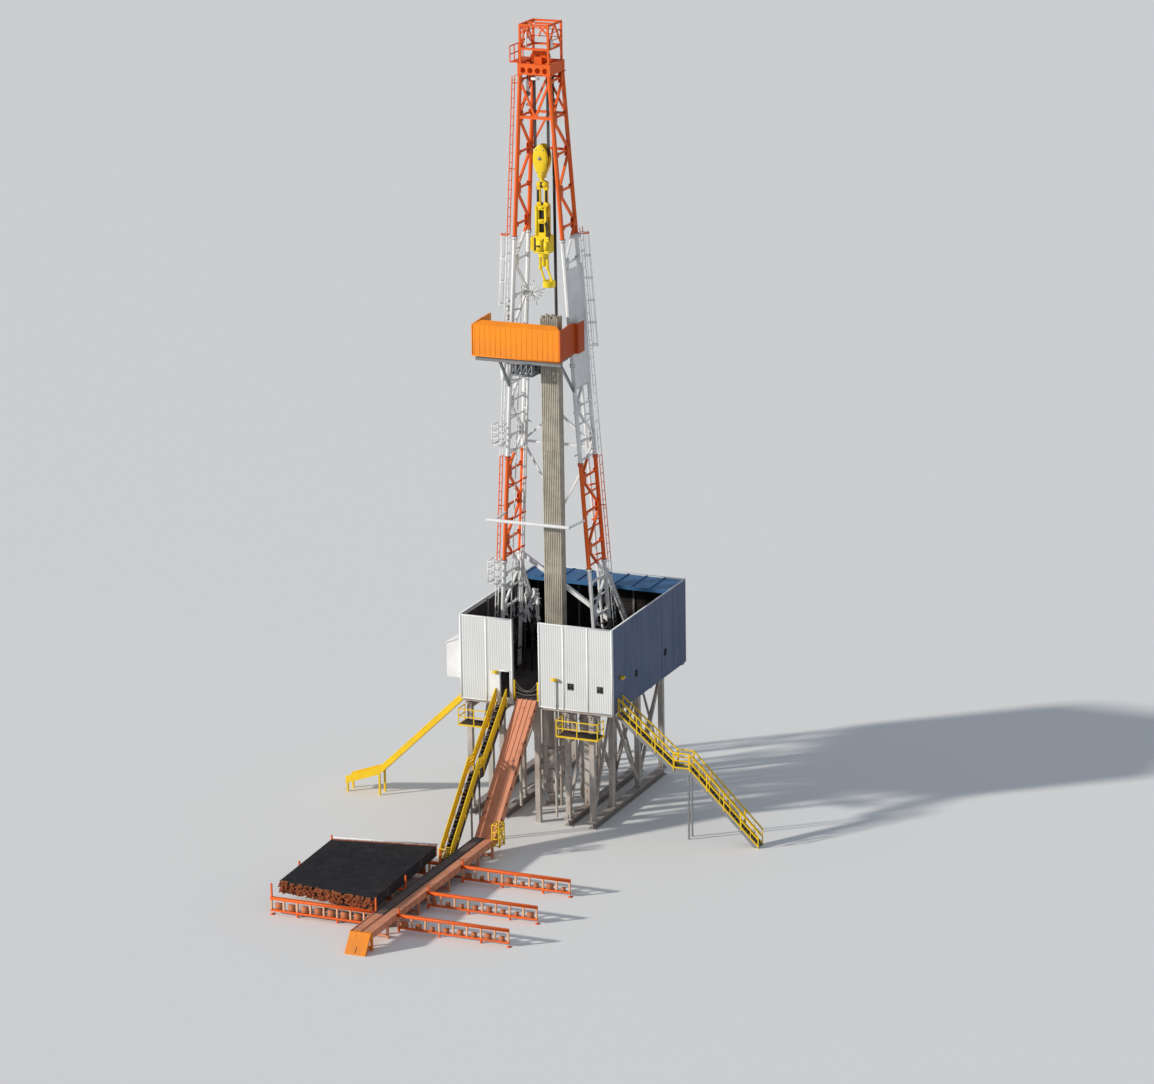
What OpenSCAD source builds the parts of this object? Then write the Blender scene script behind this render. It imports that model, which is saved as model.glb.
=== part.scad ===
// Oil drilling rig with an A-shaped mast, as a model at half the real size.
// Millimetres. Z is up, Y points to the back of the rig, the well is at the origin.

/* [Drill floor and wind walls] */
// Height of the drill floor above the ground
floor_z = 4225; // [3600:5:4800]
// Distance from the well to the inside of the left wall
house_left = 2290; // [2150:5:2600]
// Distance from the well to the inside of the right wall
house_right = 3030; // [2700:5:3400]
// Distance from the well to the inside of the front wall
house_front = 2000; // [1850:5:2300]
// Distance from the well to the inside of the back wall
house_back = 4225; // [3800:5:4600]
// Thickness of the wind walls
wall_t = 50; // [30:1:80]
// How far the walls stand above the drill floor
wall_h = 2700; // [2200:5:3200]
// How far the walls hang below the drill floor
wall_drop = 175; // [60:1:250]
// Width of the pipe opening in the front wall
vdoor_w = 915; // [820:1:1100]
// Thickness of the floor plate
plate_t = 60; // [30:1:90]
// Depth of the beams under the floor plate
beam_h = 265; // [180:1:340]
// Radius of the hole in the rotary table
rotary_r = 130; // [80:1:170]

/* [Mast] */
// Half the distance between the chords of the two legs at the floor
mast_foot = 1765; // [1600:5:1900]
// Half the distance between the chords of the two legs at the crown
mast_crown = 505; // [440:5:560]
// Place of the front chords behind the well at the floor
mast_foot_y = -138; // [-220:1:-60]
// How far the front chords lean forward from the floor to the crown
mast_lean = 342; // [260:1:420]
// Distance between front and rear chords at the floor
mast_depth = 1310; // [1180:5:1420]
// Distance between front and rear chords at the crown
mast_top_depth = 1050; // [960:5:1120]
// Height of the crown beams above the ground
crown_z = 24600; // [23800:10:25400]
// Depth of the crown beams
crown_beam_h = 350; // [280:5:420]
// Diameter of the leg chords
chord_d = 145; // [120:1:160]
// Width of the leg bracing
brace_w = 105; // [80:1:120]
// Height of a bay of the leg bracing
leg_bay = 1183; // [1050:1:1350]
// Height of the frame above the crown beams
gantry_h = 1260; // [1100:10:1500]

/* [Travelling gear] */
// Height of the top of the travelling block
block_top = 22275; // [21500:5:22500]
// Width of the travelling block
block_w = 520; // [440:5:640]
// Height of the travelling block
block_h = 1100; // [900:5:1300]
// Thickness of the travelling block
block_t = 330; // [260:2:380]
// Radius of the crown sheaves
sheave_r = 235; // [200:1:260]
// Number of sheaves
sheaves = 5; // [3:1:6]

/* [Pipe rack] */
// Diameter of a drill pipe
pipe_d = 64; // [50:1:80]
// Pipes in a row across the rig
rack_cols = 10; // [6:1:12]
// Rows of pipes from front to back
rack_rows = 6; // [3:1:7]
// Distance from the well line to the first racked pipe
rack_x = 190; // [150:5:260]
// Height of the top of the racked pipes
rack_top = 16900; // [16000:10:17400]
// Height of the pipe handler's board
board_z = 15500; // [14800:10:15900]

/* [Ramp, catwalk and racks] */
// Width of the ramp and the catwalk
ramp_w = 700; // [560:5:820]
// Height of the catwalk above the ground
catwalk_z = 600; // [480:5:760]
// Distance from the front wall to the foot of the ramp
ramp_run = 3450; // [3000:10:4000]
// Length of the catwalk
catwalk_l = 9200; // [8000:10:10400]
// Length of the sloped end of the catwalk
catwalk_tip = 420; // [300:5:600]
// Height of the pipe racks
rack_z = 575; // [500:5:640]
// Length of the racks on the right of the catwalk
rack_right_l = 3750; // [3200:10:4200]
// Length of the racks on the left of the catwalk
rack_left_l = 3730; // [3400:10:4200]
// Depth of the pipe pile
pile_h = 375; // [260:5:480]
// Pipes side by side in the pile
pile_n = 54; // [40:1:56]
// Length of the pipes in the pile
pile_l = 5400; // [5000:10:5600]

/* [Stairs and slide] */
// Width of a stair
stair_w = 350; // [320:5:420]
// Rise of a step
riser = 100; // [85:1:125]
// Diameter of the rail tubes
rail_d = 30; // [20:1:40]
// Height of the rails
rail_h = 520; // [450:5:600]

/* [Hidden] */

// Clearance between pieces that seat on each other
eps = 0.3;

wall_z0 = floor_z - wall_drop;
wall_z1 = floor_z + wall_h;
front_y = -house_front;
left_x = -house_left;
plate_z = floor_z - plate_t;
beam_z = plate_z - beam_h;
skid_h = 250;
skid_w = 260;
column_w = 170;
row_left = left_x + 180;
row_mid_left = -960;
row_mid_right = 1377;
row_right = house_right - 788;
front_post = 297;
girder_w = 160;
mast_h = crown_z - floor_z;
ramp_foot_y = front_y - wall_t - ramp_run;
catwalk_end_y = ramp_foot_y - catwalk_l;
beams_top = crown_z + crown_beam_h;
gantry_z = beams_top + gantry_h;
sheave_z = beams_top + 100;
block_axle_z = block_top - 430;
line_r = 9;
groove_d = 15;
groove_w = line_r + 6;

// Share of the mast height at height z
function mast_t(z) = (z - floor_z) / mast_h;
function chord_x(z) = mast_foot + (mast_crown - mast_foot) * mast_t(z);
function front_chord_y(z) = mast_foot_y - mast_lean * mast_t(z);
function rear_chord_y(z) =
    front_chord_y(z) + mast_depth + (mast_top_depth - mast_depth) * mast_t(z);
// Point on a chord: side is -1 left or 1 right, rear is 0 or 1
function chord(side, rear, z) =
    [side * chord_x(z), rear == 0 ? front_chord_y(z) : rear_chord_y(z), z];
// Panel points of the leg bracing
function panel_z(i) = floor_z + 60 + i * leg_bay;
panels = floor((mast_h - 160) / leg_bay);

// Straight prism from a to b with a width across its corners
module bar(a, b, w, sides = 4) {
    v = b - a;
    len = norm(v);
    translate(a) rotate([0, acos(v[2] / len), atan2(v[1], v[0])])
        rotate(180 / sides) cylinder(h = len, d = w, $fn = sides);
}

// Bar that runs a little past both ends, for bars that meet at a point
module link(a, b, w, sides = 4) {
    u = (b - a) / norm(b - a) * w * 0.35;
    bar(a - u, b + u, w, sides);
}

// Box between two corners
module block(a, b) {
    translate([min(a[0], b[0]), min(a[1], b[1]), min(a[2], b[2])])
        cube([abs(b[0] - a[0]), abs(b[1] - a[1]), abs(b[2] - a[2])]);
}

// Upright plate in the YZ plane from an outline of [y, z] points
module side_plate(x, t, outline) {
    translate([x, 0, 0]) rotate([90, 0, 90]) linear_extrude(t) polygon(outline);
}

// Upright plate in the XZ plane from an outline of [x, z] points
module front_plate(y, t, outline) {
    translate([0, y + t, 0]) rotate([90, 0, 0]) linear_extrude(t) polygon(outline);
}

// I-beam along Y that stands on z0, with flanges of width w and thickness t
module beam_y(x, y0, y1, z0, w, h, t) {
    half = w / 2;
    web = t / 2;
    front_plate(y0, y1 - y0, [for (p = [[-half, 0], [half, 0], [half, t], [web, t],
        [web, h - t], [half, h - t], [half, h], [-half, h], [-half, h - t], [-web, h - t],
        [-web, t], [-half, t]]) p + [x, z0]]);
}

// Cuts what meets the leg chords back to a seat on them
module clear_of_chords() {
    difference() {
        children();
        for (side = [-1, 1], r = [0, 1])
            bar(chord(side, r, floor_z), chord(side, r, crown_z), chord_d + 2 * eps, 8);
    }
}

// Substructure

rows = [row_left, row_mid_left, row_mid_right, row_right];
column_ys = [front_y + 160, -240, 1960, house_back - 180];

module base_skids() {
    color("gainsboro") for (x = rows)
        beam_y(x, front_y + 60, house_back - 20, 0, skid_w, skid_h, 30);
}

// One row of columns with its braces, standing on a skid
module column_row(x, ys) {
    half = column_w / 2;
    foot = half + 40;
    for (y = ys) {
        block([x - half, y - half, skid_h], [x + half, y + half, beam_z]);
        block([x - foot, y - foot, skid_h], [x + foot, y + foot, skid_h + 30]);
        block([x - foot, y - foot, beam_z - 30], [x + foot, y + foot, beam_z]);
    }
    for (i = [0 : len(ys) - 2]) {
        up = i % 2 == 0;
        bar([x, ys[i], up ? skid_h + 150 : beam_z - 150],
            [x, ys[i + 1], up ? beam_z - 150 : skid_h + 150], 130);
    }
    block([x - half * 0.6, ys[0], beam_z - 230], [x + half * 0.6, ys[len(ys) - 1], beam_z - 90]);
}
module substructure() {
    half = column_w / 2;
    color("whitesmoke") {
        for (x = rows) column_row(x, column_ys);
        block([front_post - half, column_ys[0] - half, 0],
              [front_post + half, column_ys[0] + half, beam_z + 60]);
    }
}

// Spools, two closing units with side arms, and the round unit on top of them
stack_top = 1920;
module wellhead_stack() {
    flange_r = 240;
    color("silver") {
        cylinder(h = 70, r = flange_r + 20);
        translate([0, 0, 70]) cylinder(h = 300, r = 160);
        translate([0, 0, 370]) cylinder(h = 60, r = flange_r);
        for (i = [0, 1]) translate([0, 0, 430 + i * 460]) {
            block([-260, -190, 0], [260, 190, 340]);
            for (s = [-1, 1]) {
                translate([s * 250, 0, 170]) rotate([0, s * 90, 0]) cylinder(h = 60, r = 160);
                translate([s * 300, 0, 170]) rotate([0, s * 90, 0]) cylinder(h = 260, r = 95);
            }
            translate([0, 0, 340]) cylinder(h = 40, r = flange_r - 20);
            translate([0, 0, 380]) cylinder(h = 40, r = 150);
            translate([0, 0, 420]) cylinder(h = 40, r = flange_r - 20);
        }
        translate([0, 0, 1350]) cylinder(h = 330, r = 310);
        translate([0, 0, 1680]) cylinder(h = 150, r1 = 310, r2 = 200);
        translate([0, 0, 1830]) cylinder(h = stack_top - 1830, r = flange_r);
    }
}

// Tube that leads from the stack up to the rotary table
module bell_nipple() {
    color("silver") difference() {
        union() {
            translate([0, 0, stack_top]) cylinder(h = plate_z - stack_top, r = rotary_r + 20);
            translate([0, 0, stack_top]) cylinder(h = 60, r = rotary_r + 110);
        }
        translate([0, 0, stack_top + 30])
            cylinder(h = plate_z - stack_top, r = rotary_r - 20);
    }
}

module floor_beams() {
    cross_z = beam_z + 60;
    color("gainsboro") {
        for (x = rows) beam_y(x, front_y, house_back, beam_z, girder_w, beam_h, 24);
        for (y = [front_y, front_y + 1100, 560, 1960, house_back - girder_w])
            block([left_x, y, cross_z], [house_right, y + girder_w, plate_z]);
    }
}

// The rotary table sits in a hole of the floor plate
table_r = rotary_r + 120;
module drill_floor() {
    color("dimgray") difference() {
        block([left_x, front_y, plate_z], [house_right, house_back, floor_z]);
        translate([0, 0, plate_z - 1]) cylinder(h = plate_t + 2, r = table_r);
    }
}
module rotary_table() {
    color("dimgray") difference() {
        translate([0, 0, plate_z]) cylinder(h = plate_t + 40, r = table_r - eps);
        translate([0, 0, plate_z - 1]) cylinder(h = plate_t + 42, r = rotary_r);
    }
}

// Railed platforms that stand out from the front columns under the floor
platform_z = 3300;
platform_d = 520;
module service_platform(x0, x1) {
    y0 = front_y - platform_d;
    y1 = column_ys[0] - column_w / 2;
    t = rail_d / 2;
    block([x0, y0, platform_z - 50], [x1, y1, platform_z]);
    for (x = [x0 + t, (x0 + x1) / 2, x1 - t])
        block([x - t, y0, platform_z], [x + t, y0 + rail_d, platform_z + rail_h]);
    for (h = [rail_h / 2, rail_h]) {
        block([x0, y0, platform_z + h - t], [x1, y0 + rail_d, platform_z + h + t]);
        for (x = [x0, x1 - rail_d])
            block([x, y0, platform_z + h - t], [x + rail_d, y1 - 60, platform_z + h + t]);
    }
    for (x = [x0, x1 - rail_d])
        block([x, y1 - 60 - rail_d, platform_z], [x + rail_d, y1 - 60, platform_z + rail_h + t]);
}
module service_platforms() {
    color("gold") {
        service_platform(left_x + 38, left_stair_x - stair_w / 2 - 78);
        service_platform(row_mid_right - 130, house_right - 303);
    }
}

// Wind walls: sheets with a strip over each seam and trims along the edges

seam_w = 60;
seam_t = 8;
door_x = -735;
door_w = 345;
door_h = 900;
leaf_t = 25;
window_w = 176;
window_h = 180;
window_z = floor_z + 545;

// Strips on the outside of a wall that runs along X at y, n sheets side by side
module front_strips(x0, x1, y, n) {
    for (i = [0 : n]) {
        x = x0 + (x1 - x0 - seam_w) * i / n;
        block([x, y - seam_t, wall_z0], [x + seam_w, y + 1, wall_z1]);
    }
    for (z = [wall_z0, wall_z1 - seam_w])
        block([x0, y - seam_t, z], [x1, y + 1, z + seam_w]);
}
// The same on a wall that runs along Y, on the side of x that out points to
module side_strips(x, out, n) {
    for (i = [0 : n]) {
        y = front_y + (house_back - front_y - seam_w) * i / n;
        block([x - out, y, wall_z0], [x + out * seam_t, y + seam_w, wall_z1]);
    }
    for (z = [wall_z0, wall_z1 - seam_w])
        block([x - out, front_y, z], [x + out * seam_t, house_back, z + seam_w]);
}

module front_walls() {
    y0 = front_y - wall_t;
    x0 = left_x - wall_t;
    x1 = house_right + wall_t;
    color("gainsboro") {
        difference() {
            union() {
                block([x0, y0, wall_z0], [-vdoor_w / 2, front_y, wall_z1]);
                front_strips(x0, -vdoor_w / 2, y0, 2);
            }
            block([door_x - door_w / 2, y0 - 20, floor_z],
                  [door_x + door_w / 2, front_y + 10, floor_z + door_h]);
        }
        difference() {
            union() {
                block([vdoor_w / 2, y0, wall_z0], [x1, front_y, wall_z1]);
                front_strips(vdoor_w / 2, x1, y0, 3);
            }
            for (x = [1592, 2632])
                block([x - window_w / 2, y0 - 20, window_z],
                      [x + window_w / 2, front_y + 10, window_z + window_h]);
        }
    }
}
module left_wall() {
    x = left_x - wall_t;
    color("gainsboro") {
        block([x, front_y, wall_z0], [left_x, house_back, wall_z1]);
        side_strips(x, -1, 6);
    }
}
module right_wall() {
    x = house_right + wall_t;
    color("slategray") difference() {
        union() {
            block([house_right, front_y, wall_z0], [x, house_back, wall_z1]);
            side_strips(x, 1, 6);
        }
        for (y = [-85, 2420])
            block([house_right - 10, y - window_w / 2, window_z + 50],
                  [x + 10, y + window_w / 2, window_z + 50 + window_h]);
    }
}
module back_wall() {
    color("gainsboro")
        block([left_x - wall_t, house_back, wall_z0],
              [house_right + wall_t, house_back + wall_t, wall_z1]);
}

// Leaf that stands open, flat against the wall beside the doorway, on two hinge blocks
module door_leaf() {
    x1 = door_x - door_w / 2 - 12;
    y1 = front_y - wall_t - 15;
    color("white") {
        block([x1 - door_w, y1 - leaf_t, floor_z + 8], [x1, y1, floor_z + door_h - 8]);
        for (h = [100, door_h - 190])
            block([x1 - 28, y1, floor_z + h], [x1, front_y - wall_t, floor_z + h + 90]);
    }
}

roof_d = 1325;
roof_t = 60;
module wall_posts() {
    w = 60;
    post_top = wall_z1 - roof_t - eps;
    color("slategray") {
        for (y = [front_y + 40, 0, 2000, house_back - w - 40]) {
            block([left_x, y, floor_z], [left_x + w, y + w, post_top]);
            block([house_right - w, y, floor_z], [house_right, y + w, post_top]);
        }
        for (x = [-vdoor_w / 2 - w, vdoor_w / 2, 1900])
            block([x, front_y, floor_z], [x + w, front_y + w, post_top]);
        for (x = [-800, 1200])
            block([x, house_back - w, floor_z], [x + w, house_back, post_top]);
    }
}

// Roof over the machinery at the back, with ribs, at the height of the walls
module rear_roof() {
    rib = 30;
    n = 8;
    y0 = house_back - roof_d;
    color("steelblue") {
        block([left_x, y0, wall_z1 - roof_t], [house_right, house_back, wall_z1 - rib]);
        for (i = [0 : n]) {
            x = left_x + (house_right - left_x - rib) * i / n;
            block([x, y0, wall_z1 - rib], [x + rib, house_back, wall_z1]);
        }
        block([left_x, y0, wall_z1 - roof_t - 90], [house_right, y0 + rib, wall_z1 - roof_t]);
    }
}

// Lean-to box hung on the left wall
cabin_z = 4725;
cabin_h = 1155;
cabin_w = 500;
cabin_l = 1000;
module side_cabin() {
    x1 = left_x - wall_t - seam_t;
    x0 = x1 - cabin_w;
    color("white") {
        front_plate(front_y, cabin_l, [[x1, cabin_z], [x1, cabin_z + cabin_h + 210],
            [x0, cabin_z + cabin_h], [x0, cabin_z]]);
        front_plate(front_y - 30, cabin_l + 60, [[x1, cabin_z + cabin_h + 210],
            [x1, cabin_z + cabin_h + 240], [x0 - 40, cabin_z + cabin_h + 13],
            [x0 - 40, cabin_z + cabin_h - 17]]);
    }
}

// Stairs

stringer_h = 190;
left_low_rise = 2325;
left_rises = [wall_z0 - left_low_rise, left_low_rise];
left_pitches = [42, 45.5];
left_landing = 380;
right_low_rise = 2400;
right_rises = [wall_z0 - right_low_rise, right_low_rise];
right_pitches = [40, 45];
right_landing = 570;
left_stair_x = -867;
right_stair_y = -1550;

// Stair that runs down along -Y from its top at the origin, with a landing on the way:
// rises and pitches are the heights and slopes of its flights, mid is the landing's length
module stair(rises, pitches, mid) {
    runs = [for (i = [0, 1]) rises[i] / tan(pitches[i])];
    y1 = -runs[0];
    y2 = y1 - mid;
    y3 = y2 - runs[1];
    z1 = -rises[0];
    z3 = z1 - rises[1];
    half = stair_w / 2;
    for (s = [-half, half - 20])
        side_plate(s, 20, [[0, 0], [y1, z1], [y2, z1], [y3, z3],
            [y3 + stringer_h / tan(pitches[1]), z3], [y2, z1 - stringer_h],
            [y1, z1 - stringer_h], [0, -stringer_h]]);
    for (f = [0, 1]) {
        n = round(rises[f] / riser);
        for (i = [1 : n - 1])
            translate([0, (f == 0 ? 0 : y2) - i * runs[f] / n,
                       (f == 0 ? 0 : z1) - i * rises[f] / n])
                block([-half + 10, -30, -20], [half - 10, runs[f] / n + 5, 0]);
    }
    block([-half + 10, y2, z1 - 30], [half - 10, y1, z1]);
    for (s = [-1, 1])
        block([s * (half - 50), y2 + 40, z3], [s * half, y2 + 90, z1 - 40]);
}

// Rails on both sides of such a stair
module stair_rails(rises, pitches, mid) {
    runs = [for (i = [0, 1]) rises[i] / tan(pitches[i])];
    path = [[-60, -60 * tan(pitches[0])], [-runs[0], -rises[0]], [-runs[0] - mid, -rises[0]],
        [-runs[0] - mid - runs[1] + 40, -rises[0] - rises[1] + 40]];
    for (s = [-1, 1]) {
        x = s * (stair_w / 2 + rail_d / 2);
        for (k = [0 : 2]) {
            a = path[k];
            b = path[k + 1];
            n = max(1, round(norm(b - a) / 900));
            for (i = [0 : n]) {
                p = a + (b - a) * i / n;
                block([x - rail_d / 2, p[0] - rail_d / 2, p[1] - 90],
                      [x + rail_d / 2, p[0] + rail_d / 2, p[1] + rail_h]);
            }
            for (h = [rail_h / 2, rail_h])
                link([x, a[0], a[1] + h], [x, b[0], b[1] + h], rail_d * (1.3 + k * 0.03));
        }
    }
}

module place_left_stair() {
    translate([left_stair_x, front_y - wall_t, wall_z0]) children();
}
module place_right_stair() {
    translate([house_right + wall_t, right_stair_y, wall_z0]) rotate([0, 0, 90]) children();
}
module left_stair() {
    color("dimgray") place_left_stair() stair(left_rises, left_pitches, left_landing);
}
module left_stair_rails() {
    color("gold") place_left_stair() stair_rails(left_rises, left_pitches, left_landing);
}
module right_stair() {
    color("slategray") place_right_stair() stair(right_rises, right_pitches, right_landing);
}
module right_stair_rails() {
    color("gold") place_right_stair() stair_rails(right_rises, right_pitches, right_landing);
}

// Chute with side walls that a person slides down, with a level end near the ground
slide_w = 420;
slide_y = -1050;
slide_side = 190;
slide_wall = 25;
slide_run = 3440;
slide_end = 1250;
slide_low_z = 780;
slide_end_z = 330;
module escape_slide() {
    x0 = left_x - wall_t - seam_t;
    line = [[x0, wall_z0], [x0 - slide_run, slide_low_z],
        [x0 - slide_run - slide_end, slide_end_z]];
    half = slide_w / 2;
    color("gold") {
        front_plate(slide_y - half, slide_w,
            [line[0], line[1], line[2], line[2] - [0, 30], line[1] - [0, 40], line[0] - [0, 45]]);
        for (y = [slide_y - half - slide_wall, slide_y + half])
            front_plate(y, slide_wall, [for (p = line) p + [0, slide_side],
                for (i = [2 : -1 : 0]) line[i] - [0, 50]]);
        for (p = [line[1], line[2] + [60, 20]])
            for (s = [-1, 1])
                block([p[0] - 30, slide_y + s * (half + slide_wall), 0],
                      [p[0] + 30, slide_y + s * (half - 35), p[1] - 30]);
    }
}

// Ramp and catwalk

// Ramp plate with ribs that run down it, on two deep side plates
ramp_ribs = 5;
module ramp() {
    top = [front_y, floor_z];
    foot = [ramp_foot_y, catwalk_z];
    half = ramp_w / 2;
    rib = 34;
    color("salmon") {
        side_plate(-half, ramp_w, [top, foot, foot - [0, 45], top - [0, 45]]);
        for (i = [0 : ramp_ribs - 1])
            side_plate(-half + i * (ramp_w - rib) / (ramp_ribs - 1), rib,
                [top + [0, 26], foot + [0, 26], foot - [0, 20], top - [0, 20]]);
        for (x = [-half, half - 30])
            side_plate(x, 30, [top, foot, foot - [0, 220], foot + [220, -220], top - [0, 260]]);
    }
}

module catwalk() {
    half = ramp_w / 2;
    y1 = ramp_foot_y;
    y0 = catwalk_end_y;
    bays = 8;
    color("sandybrown") {
        difference() {
            side_plate(-half, ramp_w, [[y1, catwalk_z], [y0, catwalk_z], [y0 - catwalk_tip, 60],
                [y0 - catwalk_tip, 0], [y0 - catwalk_tip + 60, 0], [y0 + 40, catwalk_z - 70],
                [y1, catwalk_z - 70]]);
            block([-half / 8, y0 + 60, catwalk_z - 30], [half / 8, y1 + 1, catwalk_z + 1]);
        }
        for (s = [-1, 1])
            block([s * half, y0, catwalk_z - 200], [s * (half - 50), y1, catwalk_z - 30]);
        for (i = [0 : bays]) {
            y = y1 - 120 - i * (catwalk_l - 240) / bays;
            for (s = [-1, 1])
                block([s * half, y - 35, 0], [s * (half - 70), y + 35, catwalk_z - 60]);
            block([-half, y - 35, 60], [half, y + 35, 130]);
        }
    }
}

// Posts beside the pipe opening and the chains across it
module vdoor_posts() {
    post_h = 650;
    post_w = 60;
    half = vdoor_w / 2 - 5;
    n = 10;
    color("gold") for (s = [-1, 1])
        block([s * half, front_y - 45, floor_z],
              [s * (half - post_w), front_y - 45 + post_w, floor_z + post_h]);
    color("dimgray") for (chain = [[post_h - 40, 300], [430, 160], [230, 60]])  {
        w = half - post_w + 5;
        sag = [for (i = [0 : n]) [w * (2 * i / n - 1),
            floor_z + chain[0] - chain[1] * (1 - pow(2 * i / n - 1, 2))]];
        front_plate(front_y - 22, 14,
            [for (p = sag) p + [0, 10], for (i = [n : -1 : 0]) sag[i] - [0, 10]]);
    }
}

// Pile of pipes, a little askew to the catwalk, with both ends cut back to its left side
pile_x = -738;
pile_y = -7520;
pile_skew = 2.75;
pile_back_cut = 460;
pile_front_cut = 640;
pile_w = pile_n * pipe_d;
module pipe_pile() {
    top = rack_z + pile_h - pipe_d / 2;
    color("darkslategray") translate([pile_x, pile_y, 0]) rotate([0, 0, pile_skew])
        difference() {
            rotate([90, 0, 0]) linear_extrude(pile_l) union() {
                translate([-pile_w, rack_z + eps]) square([pile_w, top - rack_z - eps]);
                for (i = [0 : pile_n - 1])
                    translate([-(i + 0.5) * pipe_d, top]) circle(d = pipe_d * 0.98, $fn = 8);
            }
            linear_extrude(top + pipe_d) {
                polygon([[-pile_w - 1, -pile_l - 1], [1, -pile_l - 1],
                    [-pile_w - 1, pile_front_cut - pile_l]]);
                polygon([[-pile_w - 1, 1], [1, 1], [-pile_w - 1, -pile_back_cut]]);
            }
        }
}

// Openwork beam on legs from x0 outwards to x1, with stakes up to stake_z
module rack_beam(x0, x1, y, stakes, stake_z) {
    s = sign(x1 - x0);
    n = round(abs(x1 - x0) / 450);
    step = abs(x1 - x0) / n;
    block([x0, y - 50, rack_z - 90], [x1, y + 50, rack_z]);
    block([x0, y - 45, 110], [x1, y + 45, 170]);
    for (i = [0 : n]) {
        x = x0 + s * (i == 0 ? 25 : i == n ? i * step - 25 : i * step);
        block([x - 25, y - 40, i % 3 == 0 ? 0 : 120], [x + 25, y + 40, rack_z - 30]);
    }
    for (x = stakes) block([x - 22, y - 30, rack_z - 30], [x + 22, y + 30, stake_z]);
}
rack_ys = [-8050, -10620, -12780];
// Edges of the pile where it crosses a rack
function pile_right(y) = pile_x + (pile_y - y) * tan(pile_skew);
function pile_left(y) = pile_right(y) - pile_w / cos(pile_skew);
module pipe_racks() {
    half = ramp_w / 2;
    stake_z = rack_z + pile_h + 60;
    color("darkorange") {
        for (y = rack_ys) {
            rack_beam(half, half + rack_right_l, y, [half + 40], rack_z + 180);
            rack_beam(-half, pile_left(y) - 90, y,
                [-half - 45, pile_left(y) - 50], stake_z);
        }
    }
}

// Mast

// Heights of the bolted joints of the chords
splices = [8300, 11850, 15150, 19250];
splice_h = 60;
// Heights between which the outer side of the right leg is clad
clad_z = [14400, 18300];
clad_t = 15;
leg_lean = atan((mast_foot - mast_crown) / mast_h);

// Leg of two chords with a zigzag between them
module mast_leg(side) {
    pad = 110;
    for (r = [0, 1]) {
        bar(chord(side, r, floor_z + 60), chord(side, r, crown_z - 15), chord_d, 8);
        for (z = splices)
            bar(chord(side, r, z - splice_h / 2), chord(side, r, z + splice_h / 2),
                chord_d * 1.35, 8);
        foot = chord(side, r, floor_z);
        block(foot + [-pad, -pad, 0], foot + [pad, pad, 90]);
        for (x = [-pad, pad - 25])
            side_plate(foot[0] + x, 25, [[foot[1] - pad, floor_z], [foot[1] + pad, floor_z],
                [foot[1] + 50, floor_z + 280], [foot[1] - 50, floor_z + 280]]);
        top = chord(side, r, crown_z);
        block(top + [-90, -90, -30], top + [90, 90, 0]);
    }
    for (i = [0 : panels]) {
        bar(chord(side, 0, panel_z(i)), chord(side, 1, panel_z(i)), brace_w * 0.85);
        if (i < panels)
            bar(chord(side, i % 2, panel_z(i)), chord(side, 1 - i % 2, panel_z(i + 1)), brace_w);
    }
}
module mast_left_leg() {
    color("whitesmoke") mast_leg(-1);
}
// The right leg also carries a sheet on its outer side
module mast_right_leg() {
    seat = chord_d / 2 * cos(22.5) - 6;
    color("whitesmoke") {
        mast_leg(1);
        translate(chord(1, 0, clad_z[0]) + [seat, 0, 0]) rotate([0, -leg_lean, 0])
            translate([0, -chord_d / 2, 0])
                cube([clad_t, rear_chord_y(clad_z[1]) - front_chord_y(clad_z[1]) + chord_d,
                    clad_z[1] - clad_z[0]]);
    }
}

// Bar between the legs at height z, in the front or the rear plane
module across(rear, z, w) {
    bar(chord(-1, rear, z), chord(1, rear, z), w);
}
// Pair of bars from the legs at height z to the middle at height mid
module to_middle(rear, z, mid, w) {
    for (s = [-1, 1])
        link(chord(s, rear, z), [0, rear == 0 ? front_chord_y(mid) : rear_chord_y(mid), mid], w);
}

module mast_top_bracing() {
    top = panels;
    color("orangered") clear_of_chords() {
        for (i = [top - 2, top - 1, top]) across(1, panel_z(i), brace_w);
        for (i = [top - 2, top - 1]) to_middle(1, panel_z(i), panel_z(i + 1), brace_w * 0.8);
        across(0, panel_z(top - 1), brace_w * 1.2);
        to_middle(0, panel_z(top), panel_z(top - 1), brace_w * 0.9);
    }
}

cross_z = 12150;
cross_up = 1110;
cross_down = 2300;
module mast_cross_brace() {
    color("whitesmoke") clear_of_chords() {
        across(1, cross_z, brace_w);
        to_middle(1, cross_z, cross_z + cross_up, brace_w * 0.9);
        to_middle(1, cross_z, cross_z - cross_down, brace_w * 0.8);
    }
}

// Raking struts of two bars each, from the floor up to the rear chords
strut_z = 8000;
strut_y = 3300;
strut_gap = 300;
module mast_struts() {
    rungs = 6;
    color("whitesmoke") clear_of_chords() for (s = [-1, 1]) {
        a = [s * mast_foot, strut_y, floor_z + 40];
        b = chord(s, 1, strut_z);
        gap = [0, strut_gap, 0];
        bar(a, b, 120, 6);
        bar(a + gap, b + gap * 0.4, 100, 6);
        for (i = [0 : rungs])
            link(a + (b - a) * i / rungs, a + gap + (b - a - gap * 0.6) * i / rungs, 60);
        block([a[0] - 110, a[1] - 110, floor_z], [a[0] + 110, a[1] + strut_gap + 110, floor_z + 90]);
    }
}

// Crown

bearer_y = block_t / 2 + 20;
bearer_t = 60;
axle_r = 45;
crown_x = mast_crown + 60;
crown_y0 = front_chord_y(crown_z) - 60;
crown_y1 = rear_chord_y(crown_z) + 60;

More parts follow.
